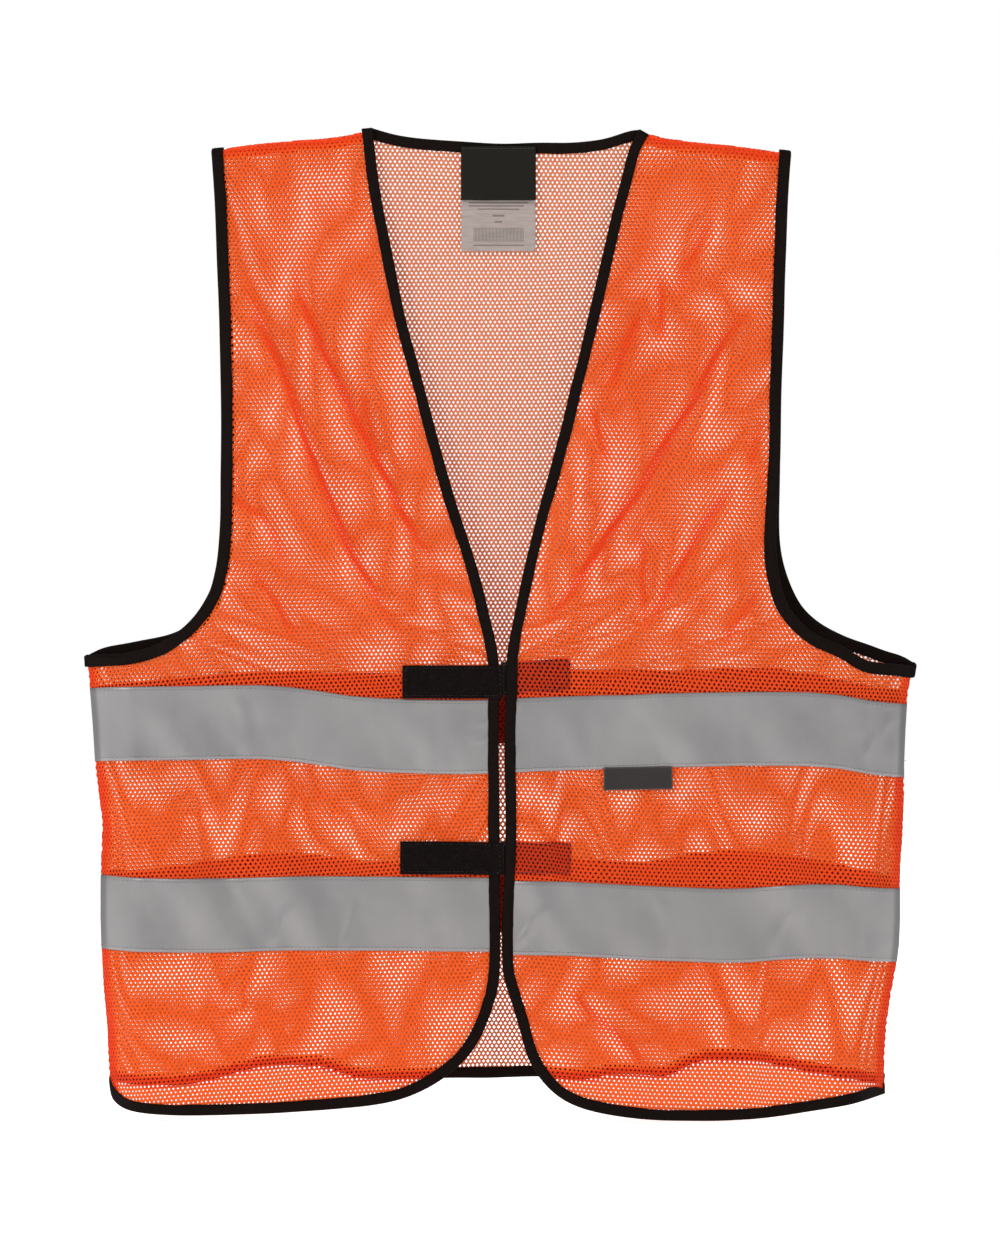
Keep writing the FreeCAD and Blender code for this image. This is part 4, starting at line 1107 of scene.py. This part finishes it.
def back_side(side, corner):
    """Side seam of the back, from its hem corner to the armhole."""
    above = SIDE[side][SIDE[side][:, 1] > corner[1] + 3]
    return spline(np.concatenate([[corner], above[:-1], [ARM_BACK[side][0]]]), 3.0)


edges = {side: spline(EDGE[side], 2.0) for side, _ in SIDES}
arms_front = {side: spline(ARM_FRONT[side], 2.0) for side, _ in SIDES}
arms_back = {side: spline(ARM_BACK[side], 2.0) for side, _ in SIDES}
shoulders = {side: spline(SHOULDER[side], 3.0) for side, _ in SIDES}
neck, back_hem = spline(NECK_BACK, 2.0), spline(HEM_BACK, 2.0)
back_sides = {"right": back_side("right", back_hem[0]), "left": back_side("left", back_hem[-1])}

# Lattice of each front: offset, turn in degrees, noise seed.
FRONT_LATTICE = {"right": ((0.0, 0.0), 3.6, 60), "left": ((0.4, 0.9), -3.2, 40)}


def build_front_knit(side):
    left = side == "left"
    polygon = outline(inset(edges[side], left), spline(SIDE[side], 3.0),
                      inset(arms_front[side], left), shoulders[side])
    shift, turn, seed = FRONT_LATTICE[side]
    cuts = [tape_middle(side, level) for level in LEVELS]
    for ob in knit_panel("mesh_front_" + side, front_y, side, polygon, cuts, shift,
                         math.radians(turn), seed):
        bend(ob, side, "mesh_orange", "front_panel_" + side, "side_panel_" + side)


def build_back_knit():
    polygon = outline(inset(back_hem, True), back_sides["left"], inset(arms_back["left"], True),
                      shoulders["left"], inset(neck, False)[::-1], shoulders["right"][::-1],
                      inset(arms_back["right"], False)[::-1], back_sides["right"][::-1])
    cuts = [tape_middle("back", level) for level in LEVELS] + [470.0]
    for ob in knit_panel("mesh_back", back_y, "left", polygon, cuts, shift=(1.1, 0.5),
                         turn=math.radians(0.15), seed=80):
        carry(ob, "vest_back", "back_panel")


for side, _ in SIDES:
    build_front_knit(side)
build_back_knit()


# ---------------------------------------------------------------- reflective tapes
def square_grid(rows, columns, start=0):
    return np.meshgrid(np.linspace(start, 1, rows), np.linspace(0, 1, columns), indexing="ij")


def tape_object(name, outer, inner):
    """Silver outside and rims, woven backing inside."""
    points, faces = sheet(outer, inner)
    slots = np.zeros(len(faces), int)
    cells = sheet_cells(outer)
    slots[cells:2 * cells] = 1
    return new_object(name, (points, faces), TAPE, TAPE_BACKING, face_slots=slots)


def heading(surface, side, start, end, out):
    """Direction along the cloth between (x, z) places."""
    return unit(on_cloth(surface, side, *end, out) - on_cloth(surface, side, *start, out))


def front_tape(side, sign, level):
    """Makes a tape of a front and returns its stitches."""
    def top(x):
        return np.interp(x, *TAPE_TOP[side, level].T)

    middle = tape_middle(side, level)
    edge = edges[side]
    # the binding covers the inner end; ignore the parts of the edge far from the middle
    nearest_row = np.argmin(np.abs(edge[:, 1] - middle) + 1e3 * (np.abs(edge[:, 0]) > 40))
    start = edge[nearest_row, 0] + sign * (BIND_W - 1.2)
    along, up = square_grid(170, 27)
    z = top(start + (sign * 270 - start) * along) - TAPE_W * (1 - up)
    end = sign * (side_x(side, z) - 0.35)
    x = start + (end - start) * (1 - (1 - along) ** 1.25)    # closer towards the side
    z = top(x) - TAPE_W * (1 - up)
    tuck = smooth(1 - along * 40)
    outer = on_cloth(FRONT, side, x, z, TAPE_OUT - 0.1 * tuck)
    inner = on_cloth(FRONT, side, x, z, TAPE_IN - 0.05 * tuck)
    # painted shade on the tape near the side seam, stored per vertex
    rim = smooth((6.5 - (side_x(side, z) - np.abs(x))) / 3.5)
    if side == "right":
        outer, inner, rim = outer[::-1], inner[::-1], rim[::-1]
    ob = tape_object("tape_front_%s_%s" % (side, level), outer, inner)
    set_attribute(ob, "rim", np.concatenate([rim.ravel(), rim.ravel()]))
    bend(ob, side, "tape_silver", "%s_tape_%s" % (level, side), "%s_tape_side_%s" % (level, side))

    rows, out = [], HALF_THREAD + 0.52
    for height in (TAPE_ROW_INSET, TAPE_W - TAPE_ROW_INSET):
        x = start + sign * (2.4 + np.arange(0, 265.0, 3.0))
        x = x[np.abs(x) < side_x(side, middle) - 1.0]
        ahead = x + sign * 0.5
        z = top(x) - TAPE_W + height
        sewn = z + 0.12 * rng.standard_normal(len(x))
        direction = heading(FRONT, side, (x, z), (ahead, top(ahead) - TAPE_W + height), out)
        rows.append(stitches(on_cloth(FRONT, side, x, sewn, out), direction,
                             outward(FRONT, side, x, sewn), length=2.25, radius=0.20))
    return rows


def back_tape(level):
    """Makes a tape of the back and returns its stitches, which show on both faces."""
    curve = TAPE_TOP["back", level]
    along, up = square_grid(330, 27, start=-1)
    x = along * 275.0
    for _ in range(3):       # settle the ends on the side seams
        z = np.interp(x, *curve.T) - TAPE_W * (1 - up)
        x = along * np.where(along < 0, side_x("right", z) - 0.4, side_x("left", z) - 0.4)
    z = np.interp(x, *curve.T) - TAPE_W * (1 - up)
    outer, inner = (on_cloth(BACK, "left", x, z, out)[::-1] for out in (TAPE_OUT, TAPE_IN))
    carry(tape_object("tape_back_" + level, outer, inner), "vest_back",
          "%s_tape_back" % level)

    rows = []
    for height in (TAPE_ROW_INSET, TAPE_W - TAPE_ROW_INSET):
        x = np.arange(-276.0, 276.0, 3.0)
        x = x[np.abs(x) < side_x("right", tape_middle("back", level)) - 3]
        z = np.interp(x, *curve.T) - TAPE_W + height + 0.12 * rng.standard_normal(len(x))
        up = outward(BACK, "left", x, z)
        rows.append(stitches(on_cloth(BACK, "left", x, z, HALF_THREAD + 0.52), (1.0, 0, 0), up,
                             length=2.25, radius=0.20))
        rows.append(stitches(on_cloth(BACK, "left", x + 1.5, z, -HALF_THREAD - 0.02),
                             (1.0, 0, 0), -up, length=2.25, radius=0.18))
    return rows


for side, sign in SIDES:
    rows = [row for level in LEVELS for row in front_tape(side, sign, level)]
    bend(new_object("stitch_tape_" + side, join(rows), GREY_THREAD), side, "thread_grey",
         "tape_stitching_" + side, "tape_stitching_side_" + side)
rows = [row for level in LEVELS for row in back_tape(level)]
carry(new_object("stitch_tape_back", join(rows), GREY_THREAD), "vest_back",
      "tape_stitching_back")


# ---------------------------------------------------------------- edge binding
def binding_section(front, rear, skin, width):
    """Folded strip: distance from the finished edge into the cloth, height above its middle.

    It goes out along the front skin, round the edge, back along the rear skin, and
    returns inside."""
    w, f, r = width, front, rear
    return np.array([
        (w, f - 0.10), (w - 0.35, f), (w * 0.72, f + 0.05), (w * 0.45, f + 0.02),
        (w * 0.2, f - 0.02), (0.9, f - 0.08), (0.35, f * 0.70), (0.0, f * 0.25),
        (0.0, -r * 0.25), (0.35, -r * 0.70), (0.9, -r + 0.08), (w * 0.3, -r),
        (w * 0.6, -r - 0.03), (w - 0.35, -r), (w, -r + 0.10),
        (w, -r + skin), (w * 0.6, -r + skin), (w * 0.3, -r + skin), (1.4, -r + skin),
        (0.95, -(r - skin) * 0.6), (0.8, 0.0), (0.95, (f - skin) * 0.6), (1.4, f - skin),
        (w * 0.2 + 0.3, f - skin), (w * 0.45, f - skin), (w * 0.72, f - skin), (w, f - skin)])


def binding_rings(surface, side, path, on_left, seed, taper=None, rear=BIND_REAR, width=BIND_W):
    """Sections along a path. taper is the length over which the end narrows to a point."""
    normals = path_normals(path, on_left)
    section = binding_section(BIND_FRONT, rear, BIND_SKIN, width)
    run = run_length(path)
    wobble = 1 + 0.035 * noise(run / 14, 0, 200 + seed) + 0.02 * noise(run / 4.5, 0, 201 + seed)
    puff = 1 + 0.10 * noise(run / 6, 0, 202 + seed) + 0.05 * noise(run / 2.6, 0, 203 + seed)
    if taper:
        wobble = wobble * (0.14 + 0.86 * smooth((run[-1] - run) / taper))
    inward = section[None, :, 0] * wobble[:, None]
    x = path[:, None, 0] + normals[:, None, 0] * inward
    z = path[:, None, 1] + normals[:, None, 1] * inward
    return on_cloth(surface, side, x, z, section[None, :, 1] * puff[:, None])


def binding_stitches(surface, side, path, on_left, outs, inward=BIND_W - 1.1, end=1.5):
    """A thread row near the inner edge, at each distance out from the cloth."""
    normals, direction, run = path_normals(path, on_left), tangents(path), run_length(path)
    places = np.arange(1.5, run[-1] - end, 2.9)
    x, z = (np.interp(places, run, path[:, k] + normals[:, k] * inward) for k in (0, 1))
    dx, dz = (np.interp(places, run, direction[:, k]) for k in (0, 1))
    rows = []
    for out in outs:
        along = heading(surface, side, (x, z), (x + dx * 0.5, z + dz * 0.5), out)
        rows.append(stitches(on_cloth(surface, side, x, z, out), along,
                             outward(surface, side, x, z) * np.sign(out),
                             length=2.1, radius=0.19))
    return rows


def turn_rings(first, last, axis, steps=7):
    """Sections that carry a folded strip round a seam, from one panel to the other."""
    centre, half = (first + last) / 2, (first - last) / 2
    bulge = axis * np.linalg.norm(half, axis=1, keepdims=True)
    angles = [math.pi * k / steps for k in range(1, steps)]
    return np.array([centre + half * math.cos(a) + bulge * math.sin(a) for a in angles])


def front_binding(side):
    left = side == "left"
    edge = edges[side]
    # the strip runs on a little up the side seam and narrows to a point there
    seam = spline(SIDE[side], 1.5)
    end_z = edge[-1, 1]
    edge = np.concatenate([edge, seam[(seam[:, 1] > end_z + 0.6) & (seam[:, 1] < end_z + 7.5)]])
    rings = binding_rings(FRONT, side, edge, left, seed=1 if left else 2, taper=17.0)
    rows = binding_stitches(FRONT, side, edge, left, (BIND_STITCH_OUT, BIND_STITCH_IN), end=17.5)
    ob = new_object("edge_binding_front_" + side, join([sweep(rings, flip=not left)] + rows),
                    BINDING)
    bend(ob, side, "binding_black", "front_binding_" + side, "front_binding_ends_" + side)


def armhole_binding(side, sign):
    left = side == "left"
    parts = ((FRONT, arms_front[side], 3), (BACK, arms_back[side], 4))
    front, back = (binding_rings(surface, side, path, left, seed, rear=ARM_BIND_REAR,
                                 width=ARM_BIND_W) for surface, path, seed in parts)
    back = back[::-1]
    ring = np.concatenate([front, turn_rings(front[-1], back[0], np.array([0, 0, 1.0])),
                           back, turn_rings(back[-1], front[0], np.array([sign, 0, 0]))])
    rows = [row for surface, path, _ in parts
            for row in binding_stitches(surface, side, path, left, (BIND_STITCH_OUT,), inward=7.0)]
    geometry = join([sweep(ring, flip=not left, closed=True)] + rows)
    carry(new_object("edge_binding_armhole_" + side, geometry, BINDING), "vest_back",
          "armhole_binding_" + side)


def back_binding(name, path, on_left, seed, piece):
    rings = binding_rings(BACK, "left", path, on_left, seed)
    rows = binding_stitches(BACK, "left", path, on_left, (BIND_STITCH_OUT, BIND_STITCH_IN))
    carry(new_object(name, join([sweep(rings, flip=on_left)] + rows), BINDING), "vest_back",
          piece)


for side, sign in SIDES:
    front_binding(side)
    armhole_binding(side, sign)
back_binding("edge_binding_neck", neck, False, 5, "back_neck_binding")
back_binding("edge_binding_back_hem", back_hem, True, 6, "back_hem_binding")

# ---------------------------------------------------------------- seams
SEAM_ANGLES = np.linspace(-math.pi / 2, math.pi / 2, 9)
COS, SIN = np.cos(SEAM_ANGLES), np.sin(SEAM_ANGLES)


def seam_walls(front, back):
    """Middle and half thickness of the cloth at a seam."""
    return (front + back) / 2, (back - front) / 2 + HALF_THREAD


def seam_object(name, outer, inner, flip):
    """Seam whose rounded outside and turned-in inside are given as (x, y, z)."""
    outer, inner = (np.stack(np.broadcast_arrays(*part), -1) for part in (outer, inner))
    rings = np.concatenate([outer, inner[:, ::-1]], 1)
    carry(new_object(name, sweep(rings, flip), SEAM), "vest_back",
          "%s_seam_%s" % tuple(name.split("_")[1:]))


def side_seam(side, sign):
    """The front folds round to the back, and the allowance is turned in."""
    seam = back_sides[side]
    z = np.linspace(seam[0, 1] + 1.5, seam[-1, 1] - 5.5, 170)[:, None]
    x = side_x(side, z) * sign
    middle, half = seam_walls(front_y(side, x - sign * 0.3, z), back_y(side, x, z))
    lump = 1 + 0.16 * noise(z / 3.1, 0, 90)
    allowance = 5.2 + 0.5 * noise(z / 9.0, 0, 91)
    seam_object("seam_side_" + side,
                (x + sign * (COS * 0.7 * lump - 1.0), middle + SIN * half, z),
                (x - sign * (1.0 + allowance - 0.25 * COS), middle + SIN * half * 0.42, z),
                flip=side == "left")


def shoulder_seam(side):
    path = shoulders[side]
    places = np.linspace(0.026, 0.995, 90)
    x, z = (np.interp(places, np.linspace(0, 1, len(path)), path[:, k])[:, None] for k in (0, 1))
    middle, half = seam_walls(front_y(side, x, z - 0.3), back_y(side, x, z))
    lump = 1 + 0.16 * noise(x / 3.0, 0, 92)
    low = z - 7.6 + 0.5 * noise(x / 8, 0, 93)
    seam_object("seam_shoulder_" + side,
                (x, middle + SIN * half, z + COS * 0.75 * lump - 0.9),
                (x, middle + SIN * half * 0.45, low + 0.2 * COS),
                flip=side == "right")


for side, sign in SIDES:
    side_seam(side, sign)
    shoulder_seam(side)

# ---------------------------------------------------------------- hook and loop
LOOP_BASE, LOOP_TOP, LOOP_SEW_INSET, LOOSE_LOOPS = 1.45, 2.75, 1.9, 1500
HOOK_OUTER, HOOK_INNER, HOOK_STEP = -1.20, -2.2, 1.55


def strip_grid(area, rows, columns):
    x0, x1, z0, z1, _ = area
    across, up = square_grid(rows, columns)
    x = x0 + (x1 - x0) * across
    return x, z0 + (z1 - z0) * up + rise(area, x)


def loop_strip(level, area):
    """Rough pile, pressed down along its sewn line, with loose loops on it."""
    x0, x1, z0, z1, _ = area
    x, z = strip_grid(area, 190, 66)
    edge = np.minimum(np.minimum(x - x0, x1 - x), np.minimum(z - z[:, :1], z[:, -1:] - z))
    sewn = np.exp(-((edge - LOOP_SEW_INSET) / 0.7) ** 2)
    pile = (0.34 * noise(x / 0.55, z / 0.55, 301) + 0.26 * noise(x / 1.3, z / 1.3, 302)
            + 0.09 * rng.standard_normal(x.shape))
    out = (LOOP_TOP + pile * smooth(edge / 0.8) - 0.75 * sewn
           - 0.9 * (1 - smooth(edge / 0.6)))
    base = sheet(on_cloth(FRONT, "right", x, z, out), on_cloth(FRONT, "right", x, z, LOOP_BASE))
    rng.uniform(0.8, 1, (LOOSE_LOOPS, 2))    # keeps the random sequence in step
    x = rng.uniform(x0 + 0.6, x1 - 0.6, LOOSE_LOOPS)
    z = rng.uniform(z0 + 0.6, z1 - 0.6, LOOSE_LOOPS) + rise(area, x)
    angle = rng.uniform(0, 2 * np.pi, LOOSE_LOOPS)
    along = np.stack([np.cos(angle), 0 * angle, np.sin(angle)], 1)
    up = outward(FRONT, "right", x, z)
    along = unit(along - up * (along * up).sum(1, keepdims=True))
    places = on_cloth(FRONT, "right", x, z, 2.95 + 0.15 * rng.standard_normal(LOOSE_LOOPS))
    loose = stitches(places, along, up, length=1.1, radius=0.09, bulge=2.6)
    carry(new_object("loop_strip_" + level, join([base, loose]), LOOP), "front_right",
          "%s_loop_strip" % level)


def hook_strip(level, area):
    """Strip behind the left front, with T-shaped hooks towards the body."""
    x0, x1, z0, z1, _ = area
    x, z = strip_grid(area, 90, 44)
    base = sheet(on_cloth(FRONT, "left", x, z, HOOK_OUTER),
                 on_cloth(FRONT, "left", x, z, HOOK_INNER))
    x, z = np.meshgrid(np.arange(x0 + 3.4, x1 - 3.2, HOOK_STEP),
                       np.arange(z0 + 3.2, z1 - 3.0, HOOK_STEP), indexing="ij")
    x, z = x.ravel(), z.ravel()
    z = z + rise(area, x)
    inward = -outward(FRONT, "left", x, z)
    feet = on_cloth(FRONT, "left", x, z, HOOK_INNER)
    upright = (0.0, 0.0, 1.0)
    stems = stitches(feet + inward * 0.4, inward, upright, length=0.95, radius=0.16, bulge=0.0)
    heads = stitches(feet + inward * 0.85, upright, inward, length=0.85, radius=0.2, bulge=1.2)
    carry(new_object("hook_strip_" + level, join([base, stems, heads]), HOOK), "front_left",
          "%s_hook_strip" % level)


def box_stitches(side, area, inset_by, out, facing):
    """Stitches round a strip, a little inside its edges."""
    x0, x1, z0, z1, tilt = area
    slope = math.tan(math.radians(tilt))
    left, right, bottom, top = x0 + inset_by, x1 - inset_by, z0 + inset_by, z1 - inset_by
    corners = np.array([(left, bottom), (right, bottom), (right, top), (left, top)])
    rows = []
    for start, end in zip(corners, np.roll(corners, -1, axis=0)):
        length = np.hypot(*(end - start))
        count = int(length / 2.7)
        share = (np.arange(count) + 0.5) / count
        x, z = (start + (end - start) * share[:, None]).T
        z = z + slope * (x - x0)
        dx, dz = (end - start) / length
        along = heading(FRONT, side, (x, z), (x + dx * 0.5, z + (dz + slope * dx) * 0.5), out)
        rows.append(stitches(on_cloth(FRONT, side, x, z, out), along,
                             outward(FRONT, side, x, z) * facing, length=2.1, radius=0.19))
    return rows


for level, area in LOOPS.items():
    loop_strip(level, area)
for level, area in HOOKS.items():
    hook_strip(level, area)
rows = [row for area in LOOPS.values()
        for row in box_stitches("right", area, LOOP_SEW_INSET, 2.12, 1)]
carry(new_object("stitch_loop_strips", join(rows), BLACK_THREAD), "front_right",
      "loop_strip_stitching")
rows = [row for area in HOOKS.values() for out, facing in ((0.52, 1), (-2.25, -1))
        for row in box_stitches("left", area, 1.7, out, facing)]
carry(new_object("stitch_hook_strips", join(rows), BLACK_THREAD), "front_left",
      "hook_strip_stitching")

# ---------------------------------------------------------------- labels
LABEL_LEFT, LABEL_RIGHT, LABEL_TOP = -26.325, 24.3, 658.925
BRAND_BOTTOM, CARE_BOTTOM = 622.1375, 587.7125
LABEL_Y, BRAND_FORWARD = 17.3, 1.15
TAB_LEFT, TAB_RIGHT, TAB_BOTTOM, TAB_TOP = 69.66, 116.37, 222.605, 237.995
TAB_BORDER = 0.9


def care_curl(across, up):
    """Distance forward of the flat place; up runs from the lower edge."""
    down = 1 - up
    return (0.25 + 1.3 * down ** 1.6 + 0.45 * np.sin(across * 5.0 + 0.8) * down
            + 0.9 * down ** 3 * across)


def brand_curl(across, up):
    down = 1 - up
    return (BRAND_FORWARD + 1.8 * down ** 1.5 + 0.4 * np.sin(across * 4.2) * down
            + 5.0 * np.clip(across - 0.62, 0, 1) ** 1.6 * down ** 1.8)


def label_sheet(x0, x1, z0, z1, curl, thick):
    """A hanging label."""
    across, up = square_grid(60, 60)
    y = LABEL_Y - curl(across, up)
    x = x0 + (x1 - x0) * across + 0.10 * noise(up * 9, 0, 401)
    z = z0 + (z1 - z0) * up + 0.12 * noise(across * 9, 0, 402) * (1 - up)
    return sheet(np.stack([x, y - thick, z], -1), np.stack([x, y, z], -1))


def neck_labels():
    """A long satin label behind a short black one, and the thread across their top."""
    geometry = label_sheet(LABEL_LEFT, LABEL_RIGHT - 0.2, CARE_BOTTOM, LABEL_TOP, care_curl, 0.22)
    satin = care_material(LABEL_LEFT, LABEL_RIGHT, CARE_BOTTOM, LABEL_TOP)
    carry(new_object("label_care", geometry, satin), "care_label", "care_label")
    geometry = label_sheet(LABEL_LEFT - 0.2, LABEL_RIGHT, BRAND_BOTTOM, LABEL_TOP + 0.2,
                           brand_curl, 0.30)
    carry(new_object("label_brand", geometry, LABEL), "brand_label", "brand_label")
    x = np.arange(LABEL_LEFT + 1.6, LABEL_RIGHT - 1.2, 2.6)
    places = np.stack(np.broadcast_arrays(x, LABEL_Y - BRAND_FORWARD - 0.36, LABEL_TOP - 1.4), 1)
    thread = stitches(places, (1.0, 0, 0), (0, -1.0, 0), length=1.9, radius=0.19)
    carry(new_object("stitch_label", thread, BLACK_THREAD), "brand_label",
          "label_stitching")


def chest_label():
    """Charcoal tab on the left front, with a slightly raised paler border."""
    width, height = TAB_RIGHT - TAB_LEFT, TAB_TOP - TAB_BOTTOM
    across, up = square_grid(70, 26)
    x = TAB_LEFT + width * across
    z = TAB_BOTTOM + height * up + 0.010 * (x - TAB_LEFT)
    lift = (HALF_THREAD + 1.0 + 0.5 * (1 - up) + 0.25 * np.sin(across * 6) * (1 - up)
            + 0.6 * np.clip(across - 0.8, 0, 1) * (1 - up))
    border = ((np.minimum(across, 1 - across) * width < TAB_BORDER)
              | (np.minimum(up, 1 - up) * height < TAB_BORDER))
    outer = on_cloth(FRONT, "left", x, z, lift + 0.32 + 0.06 * border)
    points, faces = sheet(outer, on_cloth(FRONT, "left", x, z, lift))
    cells = sheet_cells(outer)
    slots = np.zeros(len(faces), int)
    slots[:cells] = (border[:-1, :-1] & border[1:, 1:]).ravel()
    slots[2 * cells:] = 1
    ob = new_object("label_chest", (points, faces), TAB, TAB_EDGE, face_slots=slots)
    carry(ob, "chest_label", "chest_label")


neck_labels()
chest_label()


# ---------------------------------------------------------------- stage, in metres
def build_world():
    """White to the camera; as a light, brighter on the far side, behind the garment."""
    world = bpy.data.worlds.new("studio")
    bpy.context.scene.world = world
    nodes = Nodes(world)
    output = nodes.add("ShaderNodeOutputWorld")
    seen = nodes.add("ShaderNodeBackground", {0: (1, 1, 1), 1: 1.0})
    light = nodes.add("ShaderNodeBackground", {0: (1, 1, 1), 1: 0.46})
    place = nodes.add("ShaderNodeTexCoord").outputs["Generated"]
    axes = nodes.add("ShaderNodeSeparateXYZ", {0: place}).outputs
    strength = nodes.add("ShaderNodeMapRange", {
        0: axes[1],
        1: -0.25, 2: 0.45,     # y from, to
        3: 0.42, 4: 1.05,      # strength from, to
    }, interpolation_type="SMOOTHSTEP")
    nodes.set(light, {1: strength.outputs[0]})
    is_camera = nodes.add("ShaderNodeLightPath").outputs["Is Camera Ray"]
    both = nodes.add("ShaderNodeMixShader",
                     {0: is_camera, 1: light.outputs[0], 2: seen.outputs[0]})
    nodes.set(output, {0: both.outputs[0]})


def build_floor(reach=9.0, z=-0.0006):
    mesh = bpy.data.meshes.new("floor")
    mesh.from_pydata([(-reach, -reach, z), (reach, -reach, z), (reach, reach, z),
                      (-reach, reach, z)], [], [(0, 1, 2, 3)])
    floor = bpy.data.objects.new("floor", mesh)
    bpy.context.scene.collection.objects.link(floor)
    mesh.materials.append(Material("floor_pale").look({
        "Base Color": (0.93, 0.93, 0.93),
        "Roughness": 0.9,
        "Emission Color": (1, 1, 1),
        "Emission Strength": 0.66,
    }))


def area_light(name, place, size, power, aim=(0, 0, 0.35)):
    lamp = bpy.data.lights.new(name, "AREA")
    lamp.shape, lamp.size, lamp.energy = "DISK", size, power
    ob = bpy.data.objects.new(name, lamp)
    ob.location = place
    ob.rotation_mode = "QUATERNION"
    direction = Vector([a - b for a, b in zip(aim, place)])
    ob.rotation_quaternion = direction.to_track_quat("-Z", "Y")
    bpy.context.scene.collection.objects.link(ob)


def build_camera(view=0.84375, front=-0.006, z=0.3343):
    """Level camera whose longer side takes in the view, in metres, at y = front."""
    camera = bpy.data.cameras.new("camera")
    camera.lens, camera.sensor_width = 200.0, 36.0
    camera.clip_end = 60
    ob = bpy.data.objects.new("camera", camera)
    ob.location = (0.0, front - view * camera.lens / camera.sensor_width, z)
    ob.rotation_euler = (math.pi / 2, 0, 0)
    bpy.context.scene.collection.objects.link(ob)
    bpy.context.scene.camera = ob


build_world()
build_floor()
area_light("key", place=(-1.9, -2.1, 2.5), size=1.0, power=56)
area_light("fill", place=(2.2, -2.6, 1.2), size=2.0, power=9)
build_camera()
view_settings = bpy.context.scene.view_settings
view_settings.view_transform = "Standard"
view_settings.look = "None"
view_settings.exposure = 0.0
